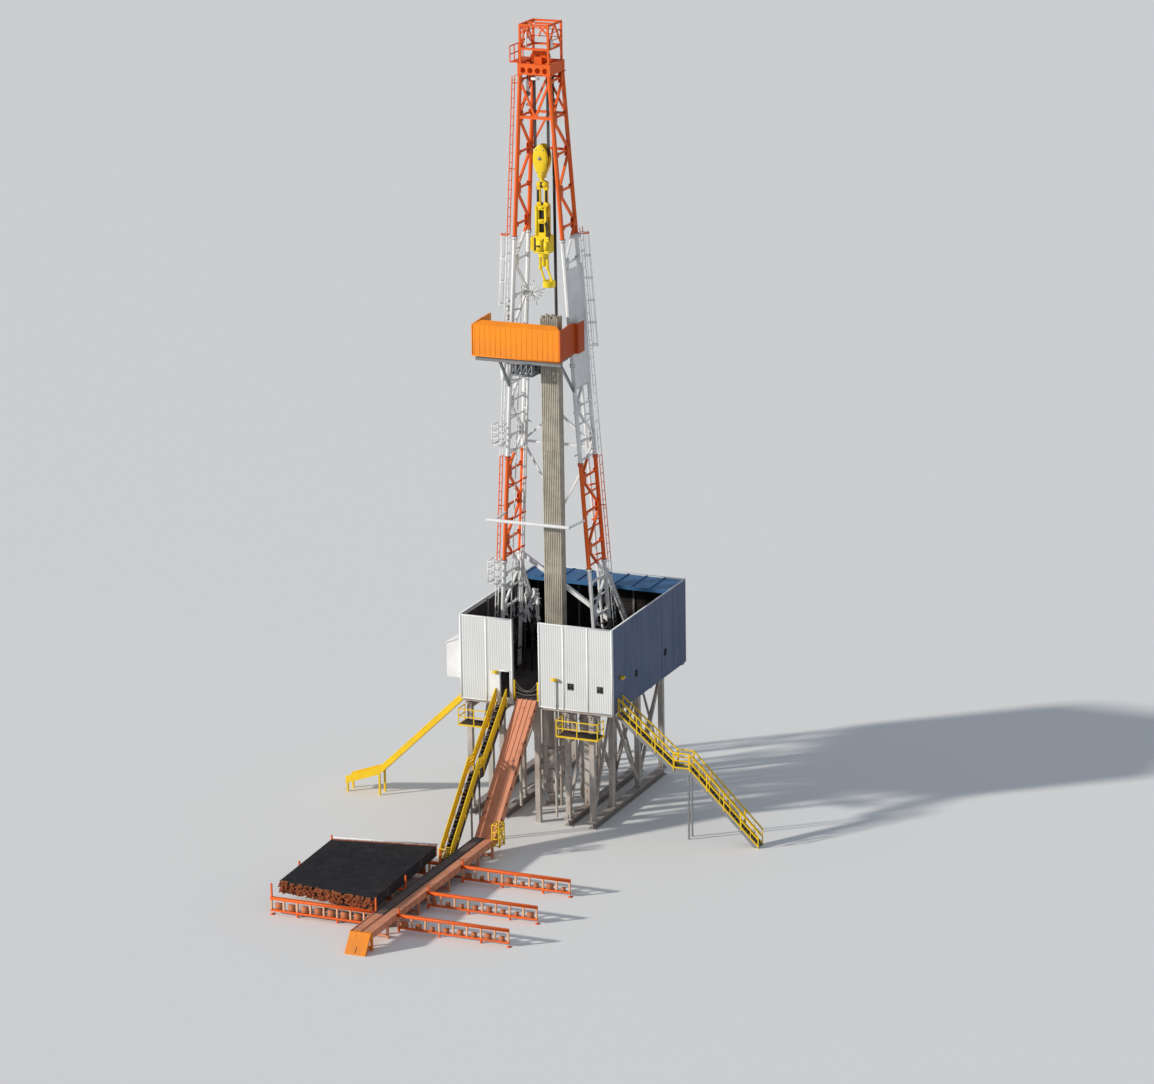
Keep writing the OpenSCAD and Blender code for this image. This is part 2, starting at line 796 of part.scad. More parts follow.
// Frame of deep beams, the front one with round openings, and bearers for the sheaves
module crown_beams() {
    t = 110;
    holes = 4;
    color("darkorange") {
        for (y = [crown_y0, crown_y1 - t]) difference() {
            block([-crown_x, y, crown_z], [crown_x, y + t, beams_top]);
            for (i = [0 : holes - 1])
                translate([(i - (holes - 1) / 2) * 2 * crown_x / (holes + 0.4), y - 1,
                           crown_z + crown_beam_h * 0.4])
                    rotate([-90, 0, 0]) cylinder(h = t + 2, r = crown_beam_h * 0.26);
        }
        for (x = [-crown_x, crown_x - t])
            block([x, crown_y0, crown_z], [x + t, crown_y1, beams_top]);
        difference() {
            for (y = [-bearer_y - bearer_t, bearer_y])
                block([-crown_x, y, crown_z], [crown_x, y + bearer_t, beams_top]);
            translate([0, crown_y1, sheave_z]) rotate([90, 0, 0])
                cylinder(h = crown_y1 - crown_y0, r = sheave_r + 60);
        }
        for (y = [-bearer_y - bearer_t, bearer_y]) difference() {
            block([-150, y, crown_z], [150, y + bearer_t, sheave_z + 90]);
            translate([0, y + bearer_t + 1, sheave_z]) rotate([90, 0, 0])
                cylinder(h = bearer_t + 2, r = axle_r + eps);
        }
    }
}

// Grooved wheel with its axle along Y
module sheave(r, w) {
    rotate([90, 0, 0]) rotate_extrude($fn = 32)
        polygon([[0, -w / 2], [r, -w / 2], [r, -groove_w], [r - groove_d, 3 - groove_w],
            [r - groove_d, groove_w - 3], [r, groove_w], [r, w / 2], [0, w / 2]]);
}
sheave_pitch = (block_t - 90) / sheaves;
function sheave_y(i) = (i - (sheaves - 1) / 2) * sheave_pitch;
module crown_sheaves() {
    axle_l = 2 * (bearer_y + bearer_t);
    color("slategray") translate([0, 0, sheave_z]) {
        for (i = [0 : sheaves - 1])
            translate([0, sheave_y(i), 0]) sheave(sheave_r, sheave_pitch - 4);
        translate([0, axle_l / 2, 0]) rotate([90, 0, 0])
            cylinder(h = axle_l, r = axle_r, $fn = 24);
    }
}

// Frame over the crown, with a railed walkway on its left and a sheet on its right
walk_w = 300;
module crown_gantry() {
    yf = front_chord_y(crown_z);
    yr = rear_chord_y(crown_z);
    x = mast_crown - 20;
    w = 65;
    mid_z = beams_top + 440;
    xw = -crown_x - walk_w;
    t = rail_d / 2;
    color("darkorange") {
        for (s = [-x, x], y = [yf, yr])
            block([s - w / 2, y - w / 2, beams_top], [s + w / 2, y + w / 2, gantry_z]);
        for (z = [mid_z, gantry_z - w]) {
            for (y = [yf, yr]) block([-x, y - w / 2, z], [x, y + w / 2, z + w]);
            for (s = [-x, x]) block([s - w / 2, yf, z], [s + w / 2, yr, z + w]);
        }
        block([-x, -w / 2, gantry_z - w], [x, w / 2, gantry_z]);
        for (s = [-1, 1])
            link([s * x, yf, gantry_z - 330], [s * x * 0.35, yf, gantry_z - w / 2], w);
        for (s = [-x, x]) {
            link([s, yf, mid_z + w / 2], [s, (yf + yr) / 2, gantry_z - w / 2], w);
            link([s, yr, mid_z + w / 2], [s, (yf + yr) / 2, gantry_z - w / 2], w);
        }
        block([x - w / 2, yf + 60, mid_z + 60], [x + w / 2 + 20, yf + 260, mid_z + 360]);
        block([xw, yf, beams_top], [-crown_x, yr, beams_top + 25]);
        block([-crown_x - 1, yf + w, beams_top], [-x, yr - w, beams_top + 25]);
        for (h = [rail_h / 2, rail_h])
            block([xw, yf, beams_top + h - t], [xw + rail_d, yr, beams_top + h + t]);
        for (i = [0 : 3])
            translate([0, (yr - yf - rail_d) * i / 3, 0])
                block([xw, yf, beams_top], [xw + rail_d, yf + rail_d, beams_top + rail_h + t]);
    }
}

// Pipe handling

rack_y1 = -480;
rack_y0 = rack_y1 - rack_rows * pipe_d;
rack_x1 = rack_x + rack_cols * pipe_d;
module racked_pipes() {
    color("darkkhaki") translate([rack_x, rack_y0, floor_z])
        linear_extrude(rack_top - floor_z) for (i = [0 : rack_cols - 1], j = [0 : rack_rows - 1])
            translate([(i + 0.5) * pipe_d, (j + 0.5) * pipe_d]) circle(d = pipe_d * 1.06, $fn = 8);
}

// Tube in front of the racked pipes, held by two arms from the front chords
belly_z = 10000;
belly_y = rack_y0 - 456;
module belly_bar() {
    xl = -chord_x(belly_z) - 206;
    xr = chord_x(belly_z) - 82;
    color("white") clear_of_chords() {
        bar([xl, belly_y, belly_z], [xr, belly_y, belly_z], 115, 8);
        for (p = [[-1, xl + 270], [1, xr - 30]])
            bar([p[1], belly_y, belly_z], chord(p[0], 0, belly_z), 95);
    }
}

shelter_x0 = -1928;
shelter_x1 = 1198;
shelter_y = -1500;
shelter_h = 1050;
sheet_t = 50;
deck_t = 60;
board_y1 = rack_y1 + 20;
module pipe_handler_board() {
    y0 = shelter_y + sheet_t + 10;
    under = 160;
    color("slategray") {
        block([shelter_x0 + 10, y0, board_z], [rack_x - 30, board_y1, board_z + deck_t]);
        block([rack_x - 30, y0, board_z], [shelter_x1 - 10, rack_y0 - 30, board_z + deck_t]);
        block([rack_x1 + 30, rack_y0 - 31, board_z],
              [shelter_x1 - sheet_t - 10, board_y1, board_z + deck_t]);
        for (y = [y0 + 60, (y0 + board_y1) / 2, board_y1 - 160])
            block([shelter_x0 + 60, y, board_z - under], [rack_x - 60, y + 100, board_z]);
        block([rack_x - 61, y0 + 60, board_z - under],
              [shelter_x1 - sheet_t - 10, y0 + 160, board_z]);
        clear_of_chords() for (s = [-1, 1]) {
            block([s * (chord_x(board_z) + 50), board_y1 - 60, board_z],
                  [s * (chord_x(board_z) - 60), front_chord_y(board_z), board_z + deck_t]);
            bar([s * chord_x(board_z), y0 + 110, board_z - 30],
                chord(s, 0, board_z - 1250), brace_w);
        }
        for (i = [0 : 4])
            block([-1000 + i * 200, shelter_y + 300, board_z + 800],
                  [-960 + i * 200, board_y1, board_z + 850]);
        block([-1060, y0, board_z + 800], [-100, shelter_y + 320, board_z + 850]);
        block([-1100, y0, board_z + 50], [-1040, y0 + 60, board_z + 850]);
    }
}

// Sheets round the board: a front with a flap folded back, and sides that rise a little
module shelter_walls() {
    z0 = board_z;
    z1 = board_z + shelter_h;
    seat = z0 + deck_t + eps;
    side_y = shelter_y + 1220;
    fold = 64;
    flap = 270;
    peak = 60;
    out = 110;
    color("darkorange") {
        block([shelter_x0, shelter_y, z0], [shelter_x1, shelter_y + sheet_t, z1]);
        translate([0, shelter_y, z1 - 8]) rotate([-fold, 0, 0])
            front_plate(0, 20, [[shelter_x0, 0], [shelter_x1, 0], [shelter_x1 - flap, flap],
                [shelter_x0 + flap, flap]]);
        for (x = [shelter_x0, shelter_x1 - sheet_t])
            side_plate(x, sheet_t, [[shelter_y + sheet_t - 1, seat], [side_y, seat],
                [side_y, z1], [side_y - 420, z1 + peak], [shelter_y + sheet_t - 1, z1]]);
        for (x = [shelter_x0 - out, shelter_x1 + out - sheet_t])
            block([x, side_y - 40, seat], [x + sheet_t, side_y + 460, z1]);
        for (x = [[shelter_x0 - out, shelter_x0 + 1], [shelter_x1 - 1, shelter_x1 + out]])
            block([x[0], side_y - 40, seat], [x[1], side_y - 10, z1]);
    }
}

// Ladder on a leg at an offset from its chord, with hoops round its upper part
ladder_w = 110;
ladder_pitch = 300;
hoop_pitch = 700;
module ladder(side, rear, off, z0, z1, stays, hoops) {
    a = chord(side, rear, z0) + [side * off, 0, 0];
    b = chord(side, rear, z1) + [side * off, 0, 0];
    w = ladder_w;
    function at(z) = a + (b - a) * (z - z0) / (z1 - z0);
    for (s = [-w, w]) bar(a + [0, s, 0], b + [0, s, 0], 36);
    n = round((z1 - z0) / ladder_pitch);
    for (i = [0 : n - 1]) {
        p = a + (b - a) * (i + 0.5) / n;
        bar(p - [0, w, 0], p + [0, w, 0], 22);
    }
    clear_of_chords() for (z = stays) {
        p = at(z);
        bar(p - [0, w, 0], p + [0, w, 0], 36);
        bar(p, p - [side * off, 0, 0], 36);
    }
    m = round((hoops[1] - hoops[0]) / hoop_pitch);
    band = [[0, -w - 14], [178, -w - 14], [256, -46], [256, 46], [178, w + 14], [0, w + 14],
        [0, w - 14], [164, w - 14], [226, 34], [226, -34], [164, 14 - w], [0, 14 - w]];
    for (i = [0 : m])
        translate(at(hoops[0] + (hoops[1] - hoops[0]) * i / m))
            linear_extrude(26) polygon([for (q = band) [side * q[0], q[1]]]);
    for (y = [-w, -38, 38, w]) {
        x = side * (abs(y) == w ? 168 : 238);
        bar(at(hoops[0] - 40) + [x, y, 0], at(hoops[1] + 70) + [x, y, 0], 24);
    }
}
module mast_ladders() {
    color("darkorange") ladder(-1, 0, 225, floor_z + 40, crown_z - 60,
        [floor_z + 600, 7400, 10200, 13000, 18700, 21500, crown_z - 300], [17000, 19300]);
    color("white") ladder(1, 1, 190, floor_z + 40, 19500,
        [floor_z + 600, 7400, 10200, 13000, 18700], [15600, 19300]);
}

// Travelling gear

module drilling_lines() {
    z0 = block_axle_z;
    color("dimgray") for (s = [-1, 1], i = [0 : sheaves - 1])
        translate([s * (sheave_r - groove_d + line_r + eps), sheave_y(i), z0])
            cylinder(h = sheave_z - z0, r = line_r, $fn = 6);
}

// Half width of the block at a share of its height, counted from its top: round above,
// widest at two fifths, drawn in to its foot
function block_half(s) = max(0.28, pow(sin(180 * pow(s, 0.72)), 0.75)) * block_w / 2;
module travelling_block() {
    n = 16;
    cheek = 45;
    side = [for (i = [0 : n]) [block_half(i / n), block_top - block_h * i / n]];
    outline = [for (p = side) p, for (i = [n : -1 : 0]) [-side[i][0], side[i][1]]];
    color("yellow") difference() {
        front_plate(-block_t / 2, block_t, outline);
        block([-block_w, cheek - block_t / 2, block_axle_z - sheave_r - 40],
              [block_w, block_t / 2 - cheek, block_top + 1]);
    }
    color("slategray") translate([0, 0, block_axle_z]) {
        for (i = [0 : sheaves - 1])
            translate([0, sheave_y(i), 0]) sheave(sheave_r, sheave_pitch - 4);
        translate([0, block_t / 2 - cheek, 0]) rotate([90, 0, 0])
            cylinder(h = block_t - 2 * cheek, r = axle_r, $fn = 24);
    }
}

// Hook body with two round ears, and the bails that carry the drive
hook_z = block_top - block_h;
bail_l = 545;
module hook() {
    bail_top = hook_z - 330;
    color("gold") {
        translate([0, 0, hook_z - 120]) cylinder(h = 120, d = 130, $fn = 24);
        for (s = [-1, 1])
            translate([s * 85, 90, hook_z - 190]) rotate([90, 0, 0])
                cylinder(h = 180, r = 98, $fn = 32);
        block([-95, -80, bail_top], [95, 80, hook_z - 150]);
        for (s = [-1, 1])
            block([s * 70, -55, bail_top - bail_l], [s * 175, 55, bail_top + 60]);
    }
}

// Drive: a narrow upper body with windows, a broad lower one, its shaft and yoke
drive_z = hook_z - 330 - bail_l;
drive_low = drive_z - 1000;
drive_end = drive_low - 550;
yoke_l = 450;
module top_drive() {
    color("gold") {
        difference() {
            block([-195, -170, drive_low], [195, 170, drive_z]);
            for (z = [drive_low + 120, drive_low + 560])
                block([-85, -171, z], [110, 171, z + 300]);
            block([-196, -90, drive_low + 200], [196, 90, drive_low + 780]);
        }
        block([-270, -210, drive_end], [270, 210, drive_low]);
        block([-390, -120, drive_end + 60], [-269, 80, drive_low - 60]);
        translate([0, 0, drive_end - 120]) cylinder(h = 121, d = 300, $fn = 32);
        translate([0, 0, drive_end - yoke_l]) cylinder(h = yoke_l, d = 120, $fn = 24);
        for (s = [-1, 1])
            block([s * 95, -50, drive_end - yoke_l], [s * 155, 50, drive_end - 60]);
    }
}

// Links that swing the elevator out to the right, and the elevator
link_l = 620;
link_out = 170;
module elevator_links() {
    z0 = drive_end - yoke_l;
    z1 = z0 - link_l;
    color("gold") {
        for (s = [-1, 1]) {
            block([s * 95, -30, z0 - 90], [s * 155, 30, z0]);
            link([s * 125, 0, z0 - 60], [s * 125 + link_out, 0, z1 + 60], 75);
        }
        translate([link_out, 0, z1 - 60]) difference() {
            cylinder(h = 200, r = 200, $fn = 32);
            translate([0, 0, -1]) cylinder(h = 202, r = 65, $fn = 32);
            translate([65, -230, 60]) cube([60, 60, 80]);
        }
    }
}

base_skids();
wellhead_stack();
bell_nipple();
substructure();
floor_beams();
drill_floor();
rotary_table();
service_platforms();
front_walls();
left_wall();
right_wall();
back_wall();
wall_posts();
side_cabin();
door_leaf();
rear_roof();
left_stair();
left_stair_rails();
right_stair();
right_stair_rails();
escape_slide();
ramp();
vdoor_posts();
catwalk();
pipe_racks();
pipe_pile();
mast_left_leg();
mast_right_leg();
mast_top_bracing();
mast_cross_brace();
mast_struts();
crown_beams();
crown_sheaves();
crown_gantry();
belly_bar();
pipe_handler_board();
shelter_walls();
mast_ladders();
racked_pipes();
drilling_lines();
travelling_block();
hook();
top_drive();
elevator_links();
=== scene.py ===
import math
import bpy
import numpy as np
from mathutils import Matrix


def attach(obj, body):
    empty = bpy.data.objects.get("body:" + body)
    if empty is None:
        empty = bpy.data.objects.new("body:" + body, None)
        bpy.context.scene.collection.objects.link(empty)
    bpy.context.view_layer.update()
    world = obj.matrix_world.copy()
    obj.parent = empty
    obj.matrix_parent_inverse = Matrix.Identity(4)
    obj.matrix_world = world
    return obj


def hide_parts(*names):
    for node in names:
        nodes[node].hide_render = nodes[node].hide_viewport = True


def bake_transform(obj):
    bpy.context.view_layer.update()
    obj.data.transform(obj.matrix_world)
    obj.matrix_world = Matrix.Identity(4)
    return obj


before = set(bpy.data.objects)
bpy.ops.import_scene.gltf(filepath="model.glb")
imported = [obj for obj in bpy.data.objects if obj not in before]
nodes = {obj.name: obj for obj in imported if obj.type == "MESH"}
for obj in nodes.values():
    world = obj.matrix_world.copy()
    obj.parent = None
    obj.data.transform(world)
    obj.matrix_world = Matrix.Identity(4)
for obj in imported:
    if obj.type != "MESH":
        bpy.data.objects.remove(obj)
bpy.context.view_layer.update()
rng = np.random.default_rng(7)
print("frame loaded:", len(nodes), "nodes")

# Camera: the photograph's view, worked out from the edges of the walls, mast and catwalk
cameraSet = {"place": (60.63, -136.93, 51.63), "azimuth": 23.529, "elevation": 15.879,
             "roll": -0.904, "focalPx": 4755.1, "imageWidth": 1154}


def addCamera(s):
    # Columns of the turn are right, up and back; right and up are turned by the roll
    a, e, r = (math.radians(s[k]) for k in ("azimuth", "elevation", "roll"))
    back = np.array([math.sin(a) * math.cos(e), -math.cos(a) * math.cos(e), math.sin(e)])
    right = np.array([math.cos(a), math.sin(a), 0.0])
    up = np.cross(back, right)
    cols = [right * math.cos(r) + up * math.sin(r), up * math.cos(r) - right * math.sin(r), back]
    lens = bpy.data.cameras.new("photoCamera")
    lens.sensor_fit = "HORIZONTAL"
    lens.sensor_width = 36.0
    lens.lens = s["focalPx"] * lens.sensor_width / s["imageWidth"]
    lens.clip_end = 2000.0
    camera = bpy.data.objects.new("photoCamera", lens)
    bpy.context.scene.collection.objects.link(camera)
    turn = np.eye(4)
    turn[:3, :3] = np.array(cols).T
    turn[:3, 3] = s["place"]
    camera.matrix_world = Matrix(turn.tolist())
    bpy.context.scene.camera = camera


addCamera(cameraSet)

# Light and ground: a low sun from the front left, as on the photograph, and a soft sky
lightSet = {"sunFrom": (-0.72, -0.58, 0.33), "sunPower": 3.8, "sunAngle": 3.0,
            "sunColour": (1.0, 0.96, 0.90), "skyColour": (0.76, 0.86, 1.0), "skyPower": 0.40,
            "seenSky": (0.93, 0.93, 0.92), "floorColour": (0.84, 0.83, 0.81),
            "floorHalf": 400.0}


def addLight(s):
    sun = bpy.data.lights.new("sun", "SUN")
    sun.energy = s["sunPower"]
    sun.angle = math.radians(s["sunAngle"])
    sun.color = s["sunColour"]
    lamp = bpy.data.objects.new("sun", sun)
    bpy.context.scene.collection.objects.link(lamp)
    d = np.array(s["sunFrom"]) / np.linalg.norm(s["sunFrom"])
    lamp.rotation_euler = (math.acos(d[2]), 0.0, math.atan2(d[1], d[0]) + math.pi / 2)
    world = bpy.data.worlds.new("sky")
    bpy.context.scene.world = world
    world.use_nodes = True
    tree = world.node_tree
    sky = tree.nodes["Background"]
    sky.inputs["Color"].default_value = (*s["skyColour"], 1.0)
    sky.inputs["Strength"].default_value = s["skyPower"]
    seen = tree.nodes.new("ShaderNodeBackground")
    seen.inputs["Color"].default_value = (*s["seenSky"], 1.0)
    rays = tree.nodes.new("ShaderNodeLightPath")
    mix = tree.nodes.new("ShaderNodeMixShader")
    tree.links.new(rays.outputs["Is Camera Ray"], mix.inputs["Fac"])
    tree.links.new(sky.outputs["Background"], mix.inputs[1])
    tree.links.new(seen.outputs["Background"], mix.inputs[2])
    tree.links.new(mix.outputs["Shader"], tree.nodes["World Output"].inputs["Surface"])


def addFloor(s):
    h = s["floorHalf"]
    mesh = bpy.data.meshes.new("floor")
    mesh.from_pydata([(-h, -h, 0), (h, -h, 0), (h, h, 0), (-h, h, 0)], [], [(0, 1, 2, 3)])
    floor = bpy.data.objects.new("floor", mesh)
    bpy.context.scene.collection.objects.link(floor)
    mat = bpy.data.materials.new("paleFloor")
    mat.use_nodes = True
    shader = mat.node_tree.nodes["Principled BSDF"]
    shader.inputs["Base Color"].default_value = (*s["floorColour"], 1.0)
    shader.inputs["Roughness"].default_value = 0.95
    mesh.materials.append(mat)


addLight(lightSet)
addFloor(lightSet)
bpy.context.scene.view_settings.view_transform = "Standard"
print("camera, light and floor placed")


# Materials: painted steel whose colour drifts, with streaks that run down and a fine bump
def addNode(tree, kind, **inputs):
    node = tree.nodes.new(kind)
    for key, value in inputs.items():
        node.inputs[key.replace("_", " ")].default_value = value
    return node


def noiseField(tree, coords, scale, detail, stretch=(1, 1, 1)):
    place = addNode(tree, "ShaderNodeMapping", Scale=stretch)
    tree.links.new(coords, place.inputs["Vector"])
    field = addNode(tree, "ShaderNodeTexNoise", Scale=scale, Detail=detail, Roughness=0.6)
    tree.links.new(place.outputs["Vector"], field.inputs["Vector"])
    return field.outputs["Fac"]


def ramp(tree, value, low, high):
    # 0 below low, 1 above high, straight between them
    node = addNode(tree, "ShaderNodeMapRange", From_Min=low, From_Max=high)
    tree.links.new(value, node.inputs["Value"])
    return node.outputs["Result"]


def mixColour(tree, share, first, second):
    node = tree.nodes.new("ShaderNodeMix")
    node.data_type = "RGBA"
    for place, value in ((0, share), (6, first), (7, second)):
        socket = node.inputs[place]
        if isinstance(value, bpy.types.NodeSocket):
            tree.links.new(value, socket)
        elif isinstance(value, float):
            socket.default_value = value
        else:
            socket.default_value = (*value, 1.0)
    return node.outputs[2]


def multiply(tree, a, b):
    node = tree.nodes.new("ShaderNodeMath")
    node.operation = "MULTIPLY"
    for socket, value in zip(node.inputs, (a, b)):
        if isinstance(value, bpy.types.NodeSocket):
            tree.links.new(value, socket)
        else:
            socket.default_value = value
    return node.outputs[0]


def axisOf(tree, coords, axis):
    parts = tree.nodes.new("ShaderNodeSeparateXYZ")
    tree.links.new(coords, parts.inputs[0])
    return parts.outputs[axis]


def bandColour(tree, coords, bands):
    # Colour by height: each band is (top of the band in metres, colour)
    top = bands[-1][0]
    share = ramp(tree, axisOf(tree, coords, "Z"), 0.0, top)
    node = tree.nodes.new("ShaderNodeValToRGB")
    node.color_ramp.interpolation = "CONSTANT"
    steps = node.color_ramp.elements
    steps[0].position = 0.0
    steps[0].color = (*bands[0][1], 1.0)
    steps[1].position = bands[0][0] / top
    steps[1].color = (*bands[1][1], 1.0)
    for low, band in zip(bands[1:-1], bands[2:]):
        step = steps.new(low[0] / top)
        step.color = (*band[1], 1.0)
    tree.links.new(share, node.inputs["Fac"])
    return node.outputs["Color"]


def paint(name, colour, dark=None, rust=0.25, dirt=0.25, rough=0.45, bump=0.15, metal=0.0,
          bands=None, zones=(), rustColour=(0.20, 0.075, 0.03), dirtColour=(0.30, 0.16, 0.09),
          scale=1.0, streak=0.35):
    # zones are (axis, from, to, colour): past "to" on that axis the colour takes over
    mat = bpy.data.materials.new(name)
    mat.use_nodes = True
    tree = mat.node_tree
    shader = tree.nodes["Principled BSDF"]
    coords = tree.nodes.new("ShaderNodeTexCoord").outputs["Object"]
    base = bandColour(tree, coords, bands) if bands else colour
    for axis, low, high, other in zones:
        base = mixColour(tree, ramp(tree, axisOf(tree, coords, axis), low, high), base, other)
    shadow = dark or tuple(c * 0.78 for c in colour)
    drift = ramp(tree, noiseField(tree, coords, 0.9 * scale, 4.0), 0.35, 0.75)
    if bands or zones:
        tint = mixColour(tree, multiply(tree, drift, 0.22), base, (0.10, 0.08, 0.07))
    else:
        tint = mixColour(tree, drift, base, shadow)
    # Rust in small patches, drawn out downwards into streaks
    patches = noiseField(tree, coords, 5.0 * scale, 6.0, (1.0, 1.0, streak))
    spots = ramp(tree, patches, 0.74 - 0.22 * rust, 0.80 - 0.16 * rust)
    worn = mixColour(tree, multiply(tree, spots, min(1.0, 0.35 + rust)), tint, rustColour)
    # Dust that gathers in broad soft areas
    dust = ramp(tree, noiseField(tree, coords, 1.7 * scale, 5.0, (1.0, 1.0, 0.5)), 0.45, 0.80)
    done = mixColour(tree, multiply(tree, dust, dirt), worn, dirtColour)
    tree.links.new(done, shader.inputs["Base Color"])
    gloss = addNode(tree, "ShaderNodeMapRange", From_Min=0.3, From_Max=0.8,
                    To_Min=rough, To_Max=min(1.0, rough + 0.3))
    tree.links.new(patches, gloss.inputs["Value"])
    tree.links.new(gloss.outputs["Result"], shader.inputs["Roughness"])
    relief = addNode(tree, "ShaderNodeBump", Strength=bump, Distance=0.01)
    tree.links.new(noiseField(tree, coords, 40.0 * scale, 3.0), relief.inputs["Height"])
    tree.links.new(relief.outputs["Normal"], shader.inputs["Normal"])
    shader.inputs["Metallic"].default_value = metal
    shader.inputs["Specular IOR Level"].default_value = 0.3
    return mat


white = (0.84, 0.84, 0.83)
orange = (0.86, 0.125, 0.008)
salmon = (0.74, 0.30, 0.17)
# The lowest band, near black up to 6.3 m, is painted shade on the legs inside the wind walls
mastBands = [(6.3, (0.17, 0.165, 0.16)), (8.3, white), (11.85, orange), (19.25, white),
             (27.0, orange)]
rackBands = [(0.175, orange), (0.475, (0.80, 0.46, 0.27)), (1.2, orange)]
manifoldBands = [(5.85, (0.040, 0.038, 0.038)), (9.0, white)]
mats = {
    "mast": paint("mastPaint", white, bands=mastBands, rust=0.30, dirt=0.10),
    "white": paint("whitePaint", white, rust=0.30, dirt=0.16),
    "manifold": paint("manifoldPaint", white, bands=manifoldBands, rust=0.35, dirt=0.20),
    # Columns darker and browner than their pale paint, with heavy rust and dirt: partly real wear,
    # partly painted shade under the floor
    "column": paint("columnPaint", (0.52, 0.49, 0.45), dark=(0.30, 0.26, 0.23), rust=0.60,
                    dirt=0.50),
    "skid": paint("skidPaint", (0.40, 0.36, 0.33), rust=0.55, dirt=0.45),
    "stack": paint("stackPaint", (0.50, 0.46, 0.41), rust=0.50, dirt=0.45, rough=0.5),
    "floor": paint("floorSteel", (0.075, 0.068, 0.065), rust=0.45, dirt=0.35, rough=0.65),
    "wall": paint("wallSheet", (0.65, 0.665, 0.65), dark=(0.60, 0.62, 0.61), rust=0.03,
                  dirt=0.07, rough=0.42, streak=0.08),
    # The right wall's sheet is the pale wall sheet as it looks in shade, a dark slate blue: painted
    # shade
    "side": paint("shadedSideSheet", (0.090, 0.126, 0.218), dark=(0.070, 0.101, 0.180), rust=0.03,
                  dirt=0.10, rough=0.40, streak=0.08),
    # Near-black liners and rails on inner faces: painted shade inside the walls and the shelter,
    # with some dirt
    "lining": paint("interiorShadeLining", (0.030, 0.026, 0.026), rust=0.35, dirt=0.22, rough=0.7),
    "trim": paint("wallTrim", (0.86, 0.87, 0.87), rust=0.06, dirt=0.06, rough=0.4),
    "orange": paint("orangePaint", orange, rust=0.30, dirt=0.16),
    "rack": paint("rackPaint", orange, bands=rackBands, rust=0.50, dirt=0.30),
    # Past x = 1.15 the sheets turn dark red: painted shade on the shelter's right side
    "shelter": paint("shelterPaint", (0.95, 0.28, 0.008), dark=(0.90, 0.24, 0.007), rust=0.04,
                     dirt=0.05, rough=0.5, zones=[("X", 1.14, 1.16, (0.52, 0.075, 0.006))]),
    "yellow": paint("yellowPaint", (0.88, 0.57, 0.012), rust=0.22, dirt=0.16),
    "gear": paint("gearPaint", (0.90, 0.66, 0.012), rust=0.26, dirt=0.20, rough=0.38),
    # Large dark rust patches on the ramp: partly dirt, partly painted shadow of the stair
    "ramp": paint("rampPaint", salmon, rust=0.80, dirt=0.40, rough=0.6, scale=0.30,
                  rustColour=(0.055, 0.032, 0.030), streak=0.9),
    # Left half dark up to y = -13.02: painted shadow of the pipe pile; salmon beyond it, and the
    # sloping tip bright orange
    "catwalk": paint("catwalkPaint", salmon, rust=0.5, dirt=0.45, rough=0.6,
                     zones=[("X", 0.01, -0.01, (0.105, 0.085, 0.088)),
                            ("Y", -13.02, -13.05, salmon),
                            ("Y", -14.55, -14.60, (0.90, 0.27, 0.012))]),
    "pipe": paint("pipeSteel", (0.54, 0.50, 0.41), dark=(0.36, 0.33, 0.27), rust=0.34,
                  dirt=0.22, rough=0.5, metal=0.10, scale=2.5, streak=0.05),
    "darkPipe": paint("darkPipe", (0.040, 0.038, 0.045), dark=(0.024, 0.023, 0.028),
                      rust=0.30, dirt=0.14, rough=0.42, metal=0.3, scale=0.7),
    "sleeve": paint("pipeSleeve", (0.52, 0.17, 0.07), rust=0.65, dirt=0.35, rough=0.7,
                    scale=3.0),
    "roof": paint("roofPaint", (0.045, 0.155, 0.330), rust=0.05, dirt=0.10, rough=0.35),
    "grey": paint("greyPaint", (0.22, 0.235, 0.25), rust=0.30, dirt=0.30),
    "wire": paint("wireRope", (0.07, 0.07, 0.07), rust=0.2, dirt=0.1, rough=0.5, metal=0.6,
                  scale=4.0),
    "black": paint("blackSteel", (0.028, 0.028, 0.030), rust=0.25, dirt=0.20, rough=0.5),
    "bolt": paint("boltSteel", (0.30, 0.29, 0.27), rust=0.45, dirt=0.2, rough=0.45, metal=0.5,
                  scale=4.0),
    "red": paint("redPaint", (0.50, 0.04, 0.03), rust=0.25, dirt=0.25),
}
nodeMats = {
    "mast": ["mast_left_leg", "mast_right_leg", "mast_top_bracing", "mast_ladders"],
    "white": ["belly_bar", "mast_cross_brace", "mast_struts", "side_cabin", "door_leaf"],
    "column": ["substructure"],
    "skid": ["base_skids", "floor_beams"],
    "stack": ["wellhead_stack", "bell_nipple"],
    "floor": ["drill_floor", "rotary_table", "left_stair"],
    "wall": ["front_walls", "left_wall", "back_wall"],
    "side": ["right_wall"],
    "grey": ["wall_posts", "right_stair", "pipe_handler_board"],
    "yellow": ["left_stair_rails", "right_stair_rails", "service_platforms", "escape_slide",
               "vdoor_posts"],
    "orange": ["crown_beams", "crown_gantry", "crown_sheaves"],
    "rack": ["pipe_racks"],
    "shelter": ["shelter_walls"],
    "ramp": ["ramp"],
    "catwalk": ["catwalk"],
    "pipe": ["racked_pipes"],
    "darkPipe": ["pipe_pile"],
    "roof": ["rear_roof"],
    "wire": ["drilling_lines"],
    "gear": ["travelling_block", "hook", "top_drive", "elevator_links"],
}
for key, names in nodeMats.items():
    for name in names:
        nodes[name].data.materials.clear()
        nodes[name].data.materials.append(mats[key])
print("materials set on the frame")


